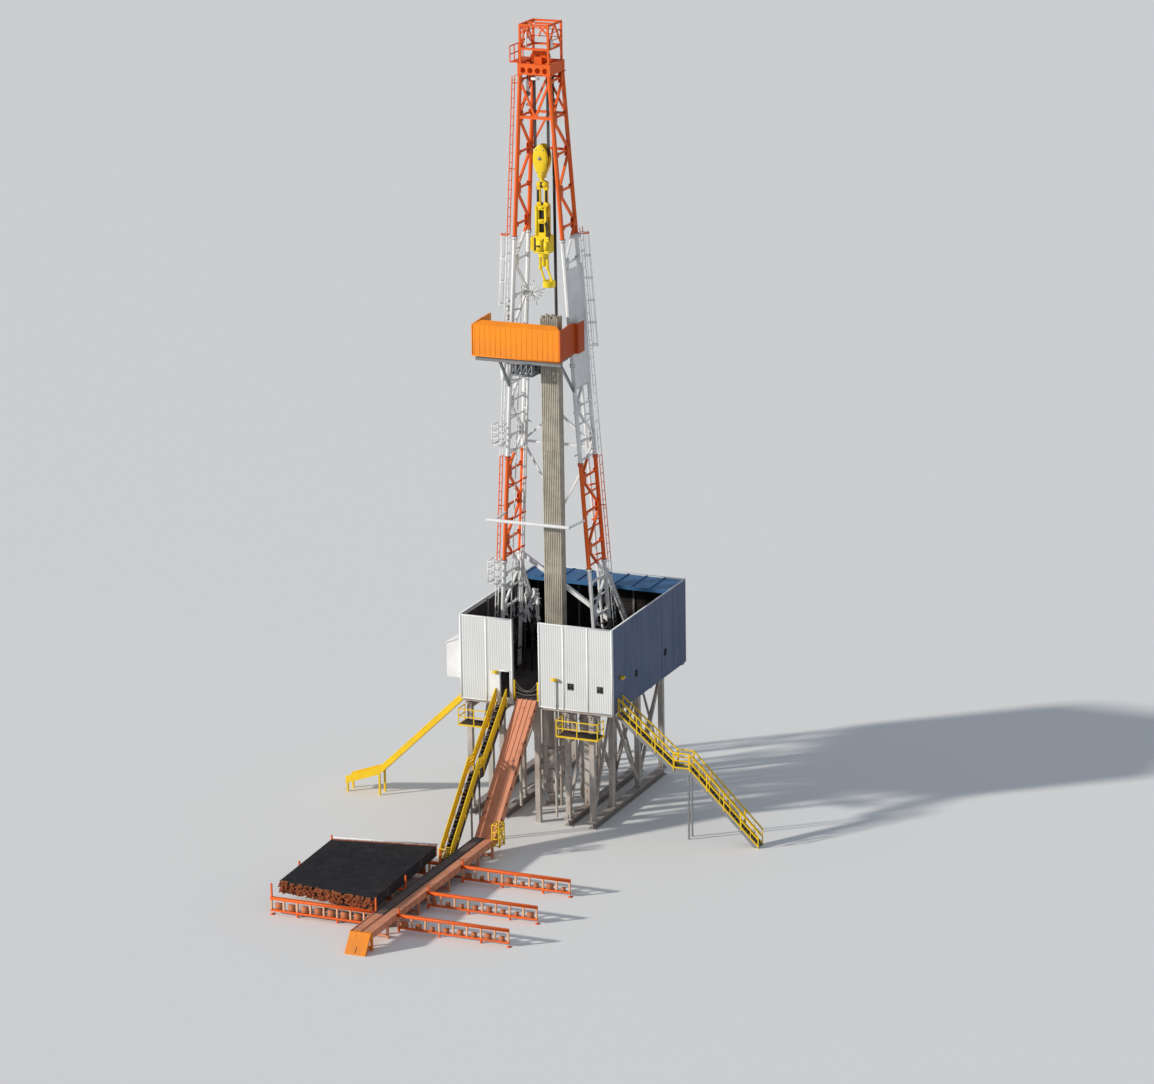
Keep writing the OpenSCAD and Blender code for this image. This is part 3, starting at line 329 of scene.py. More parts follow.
# Surfaces: a set is its points and the rows of point numbers that make its faces
cubeCorners = np.array([(0, 0, 0), (1, 0, 0), (1, 1, 0), (0, 1, 0),
                        (0, 0, 1), (1, 0, 1), (1, 1, 1), (0, 1, 1)], float)
cubeSides = np.array([(0, 3, 2, 1), (4, 5, 6, 7), (0, 1, 5, 4), (1, 2, 6, 5), (2, 3, 7, 6),
                      (3, 0, 4, 7)])


def ringTurns(count, shift=0.5):
    # Angles of evenly set points round a ring, the first one shift steps on
    return (np.arange(count) + shift) * 2 * np.pi / count


def allPairs(*axes):
    # Every combination of the values on the axes, as one flat array for each axis
    return [v.ravel() for v in np.meshgrid(*axes, indexing="ij")]


def pointsAt(x, y, z):
    # One point for each value, with a value given once repeated for all
    return np.stack(np.broadcast_arrays(x, y, z), -1)


def spread(*axes):
    # Every combination of x, y and z as rows of points
    return pointsAt(*allPairs(*axes))


def rowPairs(a, b):
    # Both as rows of points, the one with fewer rows repeated
    return np.broadcast_arrays(np.atleast_2d(np.asarray(a, float)),
                               np.atleast_2d(np.asarray(b, float)))


def boxSet(lo, hi):
    # Corner c of box i lies at lo + (hi - lo) c, with c the corners of a unit cube
    lo, hi = rowPairs(lo, hi)
    low, high = np.minimum(lo, hi), np.maximum(lo, hi)
    points = low[:, None] + (high - low)[:, None] * cubeCorners
    rows = cubeSides + 8 * np.arange(len(low))[:, None, None]
    return points.reshape(-1, 3), [rows.reshape(-1, 4)]


def ringRows(count, levels, sides, caps=True):
    # Quads between neighbouring rings of each of count tubes, and a face over each end
    j = np.arange(sides)
    start = np.arange(count)[:, None, None] * levels * sides
    k = np.arange(levels - 1)[None, :, None] * sides
    low, next_ = start + k + j, start + k + (j + 1) % sides
    rows = [np.stack([low, next_, next_ + sides, low + sides], -1).reshape(-1, 4)]
    if caps:
        first = start[:, 0] + j[::-1]
        rows += [first, start[:, 0] + (levels - 1) * sides + j]
    return rows


def crossAxes(along):
    # s is level and square to each bar, or the x axis where the bar is upright, and t = along x s
    s = np.cross(along, (0.0, 0.0, 1.0))
    size = np.linalg.norm(s, axis=1, keepdims=True)
    s = np.where(size > 1e-6, s / np.maximum(size, 1e-6), (1.0, 0.0, 0.0))
    return s, np.cross(along, s)


def barSet(a, b, width, sides=4, depth=None):
    # Ring point at turn p: end + r (cos p s + sin p t), with t scaled where a depth is given
    a, b = rowPairs(a, b)
    s, t = crossAxes((b - a) / np.linalg.norm(b - a, axis=1, keepdims=True))
    turn = ringTurns(sides)
    r = np.broadcast_to(np.asarray(width, float), (len(a),))[:, None, None]
    r = r / 2 / math.cos(math.pi / sides)
    deep = 1.0 if depth is None else depth / width
    ring = r * (np.cos(turn)[:, None] * s[:, None] + deep * np.sin(turn)[:, None] * t[:, None])
    points = np.stack([a[:, None] + ring, b[:, None] + ring], 1)
    return points.reshape(-1, 3), ringRows(len(a), 2, sides)


def latheSet(centres, profile, sides=16, axis="Z"):
    # Point at turn p on level k: centre + radius (cos p, sin p) across the axis + height along it
    centres = np.atleast_2d(np.asarray(centres, float))
    r, h = np.asarray(profile, float).T
    turn = ringTurns(sides)
    flat = pointsAt(r[:, None] * np.cos(turn), r[:, None] * np.sin(turn), h[:, None])
    order = {"Z": (0, 1, 2), "X": (2, 0, 1), "Y": (1, 2, 0)}[axis]
    points = centres[:, None, None] + flat[..., order]
    return points.reshape(-1, 3), ringRows(len(centres), len(r), sides)


def sweep(path, radius, sides=8, shut=False):
    # Ring point at turn p: path point + radius (cos p s + sin p t), s and t across the path
    path = np.asarray(path, float)
    if shut:
        tangent = np.roll(path, -1, 0) - np.roll(path, 1, 0)
    else:
        tangent = np.gradient(path, axis=0)
    tangent /= np.linalg.norm(tangent, axis=1, keepdims=True)
    span = path.max(0) - path.min(0)
    guide = np.eye(3)[int(np.argmin(span))]
    s = np.cross(tangent, guide)
    s /= np.maximum(np.linalg.norm(s, axis=1, keepdims=True), 1e-9)
    t = np.cross(tangent, s)
    turn = ringTurns(sides)
    r = np.broadcast_to(np.asarray(radius, float), (len(path),))[:, None, None]
    points = path[:, None] + r * (np.cos(turn)[:, None] * s[:, None]
                                  + np.sin(turn)[:, None] * t[:, None])
    rows = ringRows(1, len(path), sides, caps=not shut)
    if shut:
        j = np.arange(sides)
        last = (len(path) - 1) * sides
        rows.append(np.stack([last + j, last + (j + 1) % sides, (j + 1) % sides, j], -1))
    return points.reshape(-1, 3), rows


def gridRows(us, vs, keep=None):
    # Quads of a us by vs grid of points; keep marks the cells that stay
    i, j = np.meshgrid(np.arange(us - 1), np.arange(vs - 1), indexing="ij")
    n = i * vs + j
    rows = np.stack([n, n + vs, n + vs + 1, n + 1], -1)
    return rows.reshape(-1, 4) if keep is None else rows[keep]


def joined(parts):
    points, rows, start = [], [], 0
    for part, faces in parts:
        points.append(part)
        rows += [f + start for f in faces]
        start += len(part)
    return np.concatenate(points), rows


def addPiece(name, surface, mat, body="root", smooth=False, stands=()):
    points, rows = surface
    counts = np.concatenate([np.full(len(f), f.shape[1]) for f in rows])
    corners = np.concatenate([f.ravel() for f in rows]).astype(np.int32)
    mesh = bpy.data.meshes.new(name)
    mesh.vertices.add(len(points))
    mesh.vertices.foreach_set("co", np.ascontiguousarray(points, np.float32).ravel())
    mesh.loops.add(len(corners))
    mesh.loops.foreach_set("vertex_index", corners)
    mesh.polygons.add(len(counts))
    starts = np.concatenate([[0], np.cumsum(counts)[:-1]]).astype(np.int32)
    mesh.polygons.foreach_set("loop_start", starts)
    mesh.update(calc_edges=True)
    mesh.validate()
    if smooth:
        mesh.polygons.foreach_set("use_smooth", np.ones(len(counts), bool))
        mesh.set_sharp_from_angle(angle=math.radians(35))
    piece = bpy.data.objects.new(name, mesh)
    bpy.context.scene.collection.objects.link(piece)
    mesh.materials.append(mats[mat])
    if body:
        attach(piece, body)
    if stands:
        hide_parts(*stands)
    return piece


def rodSet(a, b, stations, sides=8):
    # Station k is (share, offset, radius): its ring stands at share * length + offset along the rod
    a, b = rowPairs(a, b)
    length = np.linalg.norm(b - a, axis=1, keepdims=True)
    along = (b - a) / length
    s, t = crossAxes(along)
    share, offset, radius = np.asarray(stations, float).T
    place = a[:, None] + along[:, None] * (length * share + offset)[..., None]
    turn = ringTurns(sides)
    ring = np.cos(turn)[:, None] * s[:, None] + np.sin(turn)[:, None] * t[:, None]
    points = place[:, :, None] + radius[None, :, None, None] * ring[:, None]
    return points.reshape(-1, 3), ringRows(len(a), len(share), sides)


def plainRods(a, b, radius, sides=6):
    # Round bars of one radius, six-sided for bolts
    return rodSet(a, b, [(0, 0, radius), (1, 0, radius)], sides)


def linkSet(centres, along, across, size, wire, around=10, sides=5):
    # Oval ring: centre + L cos u a + W sin u b, thickened by wire (cos v e + sin v a x b)
    a, b = along[:, None, None], across[:, None, None]
    u = ringTurns(around, 0)[:, None, None]
    v = ringTurns(sides, 0)[None, :, None]
    e = np.cos(u) * a + np.sin(u) * b
    k = np.cross(along, across)[:, None, None]
    points = (centres[:, None, None] + size[0] * np.cos(u) * a + size[1] * np.sin(u) * b
              + wire * (np.cos(v) * e + np.sin(v) * k))
    i, j = np.meshgrid(np.arange(around), np.arange(sides), indexing="ij")
    n = np.arange(len(centres))[:, None, None] * around * sides
    here, next_ = i * sides, (i + 1) % around * sides
    rows = np.stack([n + here + j, n + next_ + j, n + next_ + (j + 1) % sides,
                     n + here + (j + 1) % sides], -1)
    return points.reshape(-1, 3), [rows.reshape(-1, 4)]


def hoopBars(xs, ys, z, width):
    # Four level bars round the corners of the rectangle xs by ys
    ring = np.array([(xs[0], ys[0], z), (xs[1], ys[0], z), (xs[1], ys[1], z), (xs[0], ys[1], z)])
    return barSet(ring, np.roll(ring, -1, 0), width)


# Wind walls: ribbed sheets between the seams, bright trims, dark inner faces that paint the shade
# inside, and windows
houseSet = {"left": -2.340, "right": 3.080, "front": -2.050, "back": 4.275, "low": 4.050,
            "high": 6.925, "sheet": 0.050, "mouth": 0.4575, "strip": 0.060, "pitch": 0.078,
            "depth": 0.0032, "door": (-0.9075, -0.5625, 4.225, 5.125), "doorFrame": 0.03,
            "frame": 0.022, "glass": (0.018, 0.024), "lining": (4.227, 6.80), "skin": 0.004,
            "rails": (5.05, 5.95), "rail": 0.040,
            "windows": ((1.504, 1.680, 4.770, 4.950), (2.544, 2.720, 4.770, 4.950)),
            "sideWindows": ((-0.173, 0.003, 4.820, 5.000), (2.332, 2.508, 4.820, 5.000))}


def cladding(s, start, end, holes=()):
    # Out of the wall by a flat-topped wave of the place along it: 0, 0, 1, 1 in every pitch
    steps, wave = np.array([0.0, 0.42, 0.50, 0.92]), np.array([0.0, 0.0, 1.0, 1.0])
    count = int((end - start) / s["pitch"])
    pitch = (end - start) / count
    along = np.append(start + (np.arange(count)[:, None] + steps).ravel() * pitch, end)
    out = 0.001 + s["depth"] * np.append(np.tile(wave, count), 0.0)
    heights = np.unique(np.concatenate([[s["low"] + 0.03, s["high"] - 0.03]]
                                       + [h[2:] for h in holes]))
    midAlong, midHigh = (along[1:] + along[:-1]) / 2, (heights[1:] + heights[:-1]) / 2
    keep = np.ones((len(midAlong), len(midHigh)), bool)
    for x0, x1, z0, z1 in holes:
        keep &= ~(((midAlong > x0) & (midAlong < x1))[:, None]
                  & ((midHigh > z0) & (midHigh < z1))[None])
    x, z = np.meshgrid(along, heights, indexing="ij")
    rows = gridRows(len(along), len(heights), keep)
    return x.ravel(), np.repeat(out, len(heights)), z.ravel(), rows


def addWalls(s):
    # Each sheet is a cladding whose wave stands out from its wall's own plane
    fronts = []
    for start, end, holes in ((s["left"], -s["mouth"], [s["door"]]),
                              (s["mouth"], s["right"], s["windows"])):
        x, out, z, rows = cladding(s, start, end, holes)
        fronts.append((pointsAt(x, s["front"] - out, z), [rows]))
    addPiece("frontCladding", joined(fronts), "wall")
    y, out, z, rows = cladding(s, s["front"] + 0.05, s["back"] - 0.05, s["sideWindows"])
    addPiece("rightCladding", (pointsAt(s["right"] + out, y, z), [rows]), "side")
    y, out, z, rows = cladding(s, s["front"] + 0.05, s["back"] - 0.05)
    addPiece("leftCladding", (pointsAt(s["left"] - out, y, z), [rows[:, ::-1]]), "wall")
    x, out, z, rows = cladding(s, s["left"], s["right"])
    addPiece("backCladding", (pointsAt(x, s["back"] + out, z), [rows[:, ::-1]]), "wall")


def frameBars(u0, u1, v0, v1, w):
    # Low and high corner of the bars left, right, below and above an opening
    return (((u0 - w, v0 - w), (u0, v1 + w)), ((u1, v0 - w), (u1 + w, v1 + w)),
            ((u0, v0 - w), (u1, v0)), ((u0, v1), (u1, v1 + w)))


def addTrims(s):
    # Strip k of n stands k / n of the way along a front wall, and a frame goes round the door
    w, f, low, high = s["strip"], s["front"], s["low"], s["high"]
    lo, hi = [], []
    for x0, x1, n in ((s["left"], -s["mouth"], 2), (s["mouth"], s["right"], 3)):
        at = x0 + (x1 - x0 - w) * np.arange(n + 1) / n
        lo += [(x, f - 0.012, low) for x in at] + [(x0, f - 0.011, z) for z in (low, high - 0.03)]
        hi += [(x + w, f - 0.003, high) for x in at]
        hi += [(x1, f - 0.003, z) for z in (low + 0.03, high)]
    lo += [(s["right"] - 0.01, f - 0.012, low), (s["left"] - 0.011, f - 0.012, low),
           (s["right"] - 0.05, f + 0.01, high), (s["left"] - 0.01, f + 0.01, high),
           (s["left"], s["back"] - 0.05, high)]
    hi += [(s["right"] + 0.011, f + 0.05, high), (s["left"] - 0.003, f + 0.05, high),
           (s["right"] + 0.012, s["back"], high + 0.006),
           (s["left"] + 0.05, s["back"], high + 0.006),
           (s["right"], s["back"] + 0.012, high + 0.006)]
    (x0, x1, z0, z1), d = s["door"], s["doorFrame"]
    for a, b in (((x0 - d, z0), (x0, z1)), ((x1, z0), (x1 + d, z1)),
                 ((x0 - d, z1), (x1 + d, z1 + d))):
        lo.append((a[0], f - 0.014, a[1]))
        hi.append((b[0], f, b[1]))
    addPiece("wallTrims", boxSet(lo, hi), "trim")


def addWindows(s):
    # Frames stand out from the wall, and panes lie in it between the two depths of the glass
    lo, hi, glassLo, glassHi = [], [], [], []
    f, r, (near, far) = s["front"], s["right"], s["glass"]
    for x0, x1, z0, z1 in s["windows"]:
        for a, b in frameBars(x0, x1, z0, z1, s["frame"]):
            lo.append((a[0], f - 0.013, a[1]))
            hi.append((b[0], f, b[1]))
        glassLo.append((x0, f + near, z0))
        glassHi.append((x1, f + far, z1))
    for y0, y1, z0, z1 in s["sideWindows"]:
        for a, b in frameBars(y0, y1, z0, z1, s["frame"]):
            lo.append((r, a[0], a[1]))
            hi.append((r + 0.013, b[0], b[1]))
        glassLo.append((r - far, y0, z0))
        glassHi.append((r - near, y1, z1))
    addPiece("windowFrames", boxSet(lo, hi), "black")
    addPiece("windowPanes", boxSet(glassLo, glassHi), "black")


def addLinings(s):
    # Thin dark skins on the inner faces that paint the shade inside, broken at the door and the
    # pipe opening
    t, k, (z0, z1) = s["sheet"], s["skin"], s["lining"]
    l, r, f, b = s["left"] + t, s["right"] - t, s["front"] + t, s["back"] - t
    x0, x1 = s["door"][:2]
    doorTop = s["door"][3]
    lo = [(l, f, z0), (r - k, f, z0), (l, b - k, z0), (l, f, z0), (x0, f, doorTop),
          (x1, f, z0), (s["mouth"], f, z0)]
    hi = [(l + k, b, z1), (r, b, z1), (r, b, z1), (x0, f + k, z1), (x1, f + k, z1),
          (-s["mouth"], f + k, z1), (r, f + k, z1)]
    addPiece("wallShadeSkins", boxSet(lo, hi), "lining")
    # Rails that carry the sheets inside, between the posts, as dark as the skins: painted shade
    lo, hi, w = [], [], s["rail"]
    for z in s["rails"]:
        lo += [(l + k, f, z), (r - k - w, f, z), (l, b - k - w, z)]
        hi += [(l + k + w, b, z + w), (r - k, b, z + w), (r, b - k, z + w)]
    addPiece("wallRails", boxSet(lo, hi), "lining")


lampSet = {"fronts": ((-1.054, 5.06), (1.048, 5.02)), "pole": (1.095, 4.06, 5.02),
           "side": (3.10, -1.42, 5.130), "size": (0.10, 0.085, 0.07)}


def addLamps(s, house):
    # Hoods reach w to both sides and d out, over glasses four fifths as wide
    f, (w, d, h) = house["front"], s["size"]
    hoods, glass, arms = [], [], []
    for x, z in s["fronts"]:
        hoods.append(((x - w, f - 0.05 - d, z), (x + w, f - 0.02, z + h)))
        glass.append(((x - w * 0.8, f - 0.045 - d, z - 0.012), (x + w * 0.8, f - 0.03, z)))
        arms.append(((x - 0.015, f - 0.05, z - 0.05), (x + 0.015, f, z + 0.02)))
    x, y, z = s["side"]
    hoods.append(((x, y - w, z), (x + d + 0.04, y + w, z + h)))
    glass.append(((x + 0.01, y - w * 0.8, z - 0.012), (x + d + 0.03, y + w * 0.8, z)))
    arms.append(((house["right"], y - 0.015, z - 0.05), (x + 0.03, y + 0.015, z)))
    x, z0, z1 = s["pole"]
    arms.append(((x - 0.012, f - 0.045, z0), (x + 0.012, f - 0.021, z1)))
    arms.append(((x - 0.02, f - 0.045, z0 + 0.1), (x + 0.02, f, z0 + 0.13)))
    addPiece("lampHoods", boxSet(*zip(*hoods)), "yellow")
    addPiece("lampGlasses", boxSet(*zip(*glass)), "trim")
    addPiece("lampArms", boxSet(*zip(*arms)), "grey")


addWalls(houseSet)
addTrims(houseSet)
addWindows(houseSet)
addLinings(houseSet)
addLamps(lampSet, houseSet)
print("wind walls finished")

# Mast: plates at the joints, bolts round the flanges, pipes and cages on the legs
mastSet = {"floor": 4.225, "crown": 24.6, "foot": 1.765, "top": 0.505, "footY": -0.138,
           "lean": 0.342, "depth": 1.310, "topDepth": 1.050, "first": 4.285, "bay": 1.183,
           "bays": 17, "fineBays": 9, "fineBar": 0.045, "bolts": 10, "boltRing": 0.085,
           "splices": (8.3, 11.85, 15.15, 19.25), "plateX": ((-0.054, -0.042), (0.042, 0.054)),
           "plateReach": (0.17, 0.26), "plateTall": (0.08, 0.17)}


def chordPoint(s, side, rear, z):
    # Straight line from foot to crown: a share t of the height moves it in and back
    t = (z - s["floor"]) / (s["crown"] - s["floor"])
    x = side * (s["foot"] + (s["top"] - s["foot"]) * t)
    y = s["footY"] - s["lean"] * t + rear * (s["depth"] + (s["topDepth"] - s["depth"]) * t)
    return pointsAt(x, y, z)


def addMastPlates(s):
    # Level i of the plates lies at first + i bay, with long ones where a diagonal ends
    side, level = allPairs((-1.0, 1.0), np.arange(s["bays"] + 1))
    z = s["first"] + s["bay"] * level
    low, high = [], []
    for rear in (0, 1):
        here = chordPoint(s, side, rear, z)
        busy = level % 2 == rear
        reach = np.where(busy, s["plateReach"][1], s["plateReach"][0])
        tall = np.where(busy, s["plateTall"][1], s["plateTall"][0])
        inward = 1 - 2 * rear
        for x0, x1 in s["plateX"]:
            low.append(here + pointsAt(x0, 0.0, -tall))
            high.append(here + pointsAt(x1, inward * reach, tall))
    addPiece("jointPlates", boxSet(np.concatenate(low), np.concatenate(high)), "mast")
    side, rear, z, turn = allPairs((-1, 1), (0, 1), s["splices"], ringTurns(s["bolts"], 0))
    at = chordPoint(s, side, rear, z)
    at[:, 0] += s["boltRing"] * np.cos(turn)
    at[:, 1] += s["boltRing"] * np.sin(turn)
    addPiece("spliceBolts", rodSet(at - (0, 0, 0.052), at + (0, 0, 0.052),
             [(0, 0, 0.013), (0, 0.018, 0.013), (0, 0.018, 0.007), (1, -0.018, 0.007),
              (1, -0.018, 0.013), (1, 0, 0.013)], 6), "bolt")


def addFineBracing(s):
    # Short bars from the middle of each diagonal to both chords, on the lower bays
    side, level = allPairs((-1.0, 1.0), np.arange(s["fineBays"]))
    z = s["first"] + s["bay"] * level
    start = chordPoint(s, side, level % 2, z)
    end = chordPoint(s, side, 1 - level % 2, z + s["bay"])
    middle = (start + end) / 2
    a = chordPoint(s, side, level % 2, middle[:, 2])
    b = chordPoint(s, side, 1 - level % 2, middle[:, 2])
    bars = [barSet(middle, end, s["fineBar"]) for end in (a, b)]
    addPiece("fineBracing", joined(bars), "mast")


# Each riser is (leg side, rear chord or not, shift in x, shift in y, low end, high end, radius)
mastPipeSet = {"risers": ((-1, 1, 0.16, -0.10, 4.4, 14.6, 0.045),
                          (-1, 1, 0.16, -0.24, 4.4, 12.8, 0.032),
                          (1, 1, -0.17, -0.20, 4.4, 15.1, 0.045),
                          (1, 0, -0.16, 0.30, 4.4, 12.0, 0.022),
                          (1, 0, -0.16, 0.38, 4.4, 13.4, 0.022),
                          (-1, 0, 0.15, 0.34, 4.4, 17.6, 0.020)),
               "clampStep": 1.183, "clamp": 0.045}


def addMastPipes(s, m):
    rods, clamps = [], []
    for side, rear, dx, dy, z0, z1, r in s["risers"]:
        a = chordPoint(m, side, rear, z0) + (dx, dy, 0)
        b = chordPoint(m, side, rear, z1) + (dx, dy, 0)
        # Straight part, then a neck that bends over by nearly half a turn
        turn = np.linspace(0, math.pi * 0.9, 9)[1:]
        bend = r * 3.5
        neck = b + bend * pointsAt(-side * (1 - np.cos(turn)), 0.0, np.sin(turn))
        path = np.concatenate([a + (b - a) * np.linspace(0, 1, 12)[:, None], neck])
        rods.append(sweep(path, r, 10))
        z = np.arange(z0 + 0.6, z1, s["clampStep"])
        at = a + (b - a) * ((z - z0) / (z1 - z0))[:, None]
        hold = chordPoint(m, side, rear, z)
        clamps.append(barSet(at, hold, s["clamp"]))
        clamps.append(plainRods(at - (0, 0, 0.03), at + (0, 0, 0.03), r + 0.012, 10))
    addPiece("mastPipes", joined(rods), "white", smooth=True)
    addPiece("pipeClamps", joined(clamps), "mast")


cageSet = {"levels": ((7.55, 8.30), (12.30, 12.95)), "out": (0.10, 0.46), "half": 0.24,
           "post": 0.028, "hoop": 0.024, "plate": (14.5, 17.2), "plateHalf": 0.0675,
           "plateThick": 0.008, "tile": 0.30, "hole": 0.054}


def holedPlate(s, low, high, y, steps=16):
    # In each tile a ring from the round hole out to the tile's edge, front and back
    count = int(round((high[2] - low[2]) / s["tile"]))
    share = (np.arange(count) + 0.5) / count
    centre = low + (high - low) * share[:, None]
    turn = ringTurns(steps)
    c, d = np.cos(turn), np.sin(turn)
    halfX, halfZ = s["plateHalf"], (high[2] - low[2]) / count / 2
    reach = np.minimum(halfX / np.maximum(abs(c), 1e-9), halfZ / np.maximum(abs(d), 1e-9))
    corner = np.stack([np.clip(reach * c, -halfX, halfX), np.clip(reach * d, -halfZ, halfZ)], 1)
    inner = s["hole"] * np.stack([c, d], 1)
    rings = np.stack([inner, corner], 0)
    faces = y + np.array([0.0, s["plateThick"]])[None, :, None, None]
    points = np.zeros((count, 2, 2, steps, 3)) + centre[:, None, None, None]
    points[..., 0] += rings[None, None, :, :, 0]
    points[..., 1] += faces
    points[..., 2] += rings[None, None, :, :, 1]
    j, k = np.arange(steps), (np.arange(steps) + 1) % steps
    n = (np.arange(count) * 4 * steps)[:, None]
    front = np.stack([n + j, n + steps + j, n + steps + k, n + k], -1)
    far = n + 2 * steps
    back = np.stack([far + k, far + steps + k, far + steps + j, far + j], -1)
    bore = np.stack([n + j, n + k, far + k, far + j], -1)
    rim = np.stack([far + steps + j, far + steps + k, n + steps + k, n + steps + j], -1)
    return points.reshape(-1, 3), [v.reshape(-1, 4) for v in (front, back, bore, rim)]


# Fan of pale fingers on an arm from the left leg, a dark guide track and two small plates
fanSet = {"centre": (-0.610, 0.550, 17.250), "count": 16, "reach": (0.28, 0.42), "bar": 0.022,
          "track": ((0.170, 0.420, 4.225), (0.250, 0.480, 24.420)),
          "landing": ((0.800, 0.380, 19.180), (1.020, 0.700, 19.300)),
          "plate": ((-1.430, -0.385, 14.460), (-1.070, -0.365, 15.060))}


def addFan(s, m):
    # Tip of finger p: centre + reach (cos p, 0.3 cos 3p, sin p), with every third one longer
    turn = ringTurns(s["count"], 0)
    reach = np.where(np.arange(s["count"]) % 3 == 1, s["reach"][1], s["reach"][0])[:, None]
    centre = np.array(s["centre"])
    tips = centre + reach * pointsAt(np.cos(turn), 0.3 * np.cos(3 * turn), np.sin(turn))
    hold = chordPoint(m, -1, 1, centre[2])
    arm = barSet(hold, centre, 0.05)
    fingers = barSet(centre, tips, s["bar"])
    addPiece("fingerFan", joined([fingers, arm]), "white")
    addPiece("guideTrack", boxSet(*s["track"]), "black")
    addPiece("legPlates", boxSet(*zip(s["landing"], s["plate"])), "trim")


def addCages(s, m):
    # Four posts and four even hoops round each cage, out from the left leg's front chord
    bars, plates = [], []
    for z0, z1 in s["levels"]:
        base = chordPoint(m, -1, 0, z0)
        xs, ys = base[0] - np.array(s["out"]), base[1] + s["half"] * np.array([-1.0, 1.0])
        corners = spread(xs, ys, [z0])
        bars.append(barSet(corners, corners + (0, 0, z1 - z0), s["post"]))
        for z in np.linspace(z0 + 0.02, z1, 4):
            bars.append(hoopBars(xs, ys, z, s["hoop"]))
        plates.append(((xs[1], ys[0], z0 - 0.01), (xs[0], ys[1], z0 + 0.012)))
    addPiece("cageBars", joined(bars), "white")
    addPiece("cageFloors", boxSet(*zip(*plates)), "white")
    z0, z1 = s["plate"]
    a, b = (chordPoint(m, -1, 0, z) - (0.1375, 0.0, 0.0) for z in (z0, z1))
    addPiece("holedPlate", holedPlate(s, a, b, -0.03), "white")


addMastPlates(mastSet)
addFineBracing(mastSet)
addMastPipes(mastPipeSet, mastSet)
addCages(cageSet, mastSet)
addFan(fanSet, mastSet)
print("mast details placed")

# Stands in the rack and pipes in the pile, each one by itself
standSet = {"pitch": 0.064, "columns": 10, "rows": 6, "x": 0.190, "backY": -0.480,
            "floor": 4.225, "top": 16.86, "body": 0.0262, "joint": 0.0315, "length": 4.16}


def addStands(s):
    # Stand (i, j) is (i + 1/2, j + 1/2) pitches from the corner, its top a little lower at random
    x = s["x"] + s["pitch"] * (np.arange(s["columns"]) + 0.5)
    y = s["backY"] - s["pitch"] * (np.arange(s["rows"]) + 0.5)
    base = spread(x, y, [s["floor"]])
    top = base + pointsAt(0.0, 0.0, s["top"] - s["floor"] - rng.uniform(0, 0.10, len(base)))
    r, j = s["body"], s["joint"]
    stations = [(0, 0, j), (0, 0.10, j), (0, 0.13, r)]
    for k in (1, 2):
        z = k * s["length"]
        stations += [(0, z - 0.16, r), (0, z - 0.13, j), (0, z + 0.11, j), (0, z + 0.14, r)]
    stations += [(1, -0.15, r), (1, -0.12, j), (1, 0, j)]
    addPiece("rackedStands", rodSet(base, top, stations, 10), "pipe", smooth=True,
             stands=("racked_pipes",))


pileSet = {"corner": (-0.738, -7.520), "skew": 2.75, "count": 54, "layers": 6, "pitch": 0.064,
           "radius": 0.0314, "bore": 0.024, "low": 0.575, "high": 0.950, "length": 5.40,
           "backCut": 0.46, "frontCut": 0.64, "sleeve": 0.10, "ragged": 0.035, "frontRagged": 0.13,
           "capped": 0.72, "bar": ((-4.150, -8.105, 0.965), (-0.716, -7.514, 0.965))}


def addPile(s):
    # Pipe i of layer k lies at (i + 1/2) pitch left of the corner, its ends cut on a slant
    width = s["count"] * s["pitch"]
    i, k = allPairs(np.arange(s["count"]), np.arange(s["layers"]))
    x = -(i + 0.5) * s["pitch"]
    rise = (s["high"] - s["low"] - 2 * s["radius"]) / (s["layers"] - 1)
    z = s["low"] + s["radius"] + k * rise
    share = -x / width
    y1 = -s["backCut"] * share - rng.uniform(0, s["ragged"], len(x)) - 0.002
    y0 = -s["length"] + s["frontCut"] * share + rng.uniform(0, s["frontRagged"], len(x)) + 0.004
    c, d = math.cos(math.radians(s["skew"])), math.sin(math.radians(s["skew"]))

    def place(y):
        return pointsAt(s["corner"][0] + c * x - d * y, s["corner"][1] + d * x + c * y, z)

    front, back = place(y0), place(y1)
    r, hole, w = s["radius"], s["bore"], s["sleeve"]
    addPiece("pilePipes", rodSet(front, back, [(0, w, r - 0.003), (1, -w, r - 0.003)], 10),
             "darkPipe", smooth=True, stands=("pipe_pile",))
    ends = [(0, w, hole), (0, 0, hole), (0, 0, r), (0, w + 0.01, r), (0, w + 0.01, r - 0.004)]
    # Only some of the pipes wear a sleeve at the front, which leaves dark gaps between them
    capped = rng.random(len(x)) < s["capped"]
    near = rodSet(front[capped], back[capped], ends, 10)
    far = rodSet(back, front, ends, 10)
    addPiece("pipeSleeves", joined([near, far]), "sleeve")
    # Thin boards across the pile between the layers, and a pale bar along its back
    along = np.array([0.25, 0.5, 0.75])
    y = -s["length"] * along
    lift = s["low"] + 2 * s["radius"] - 0.002 + rise * np.arange(s["layers"] - 1)
    a = pointsAt(s["corner"][0] - d * y, s["corner"][1] + c * y, 0.0)
    b = a - (c * width, d * width, 0)
    a, b = (np.concatenate([v + (0, 0, z0) for z0 in lift]) for v in (a, b))
    addPiece("pileBoards", barSet(a, b, 0.012, depth=0.02), "pipe")
    addPiece("pileBar", barSet(*s["bar"], 0.035), "trim")


addStands(standSet)
addPile(pileSet)
print("stands and pile placed")

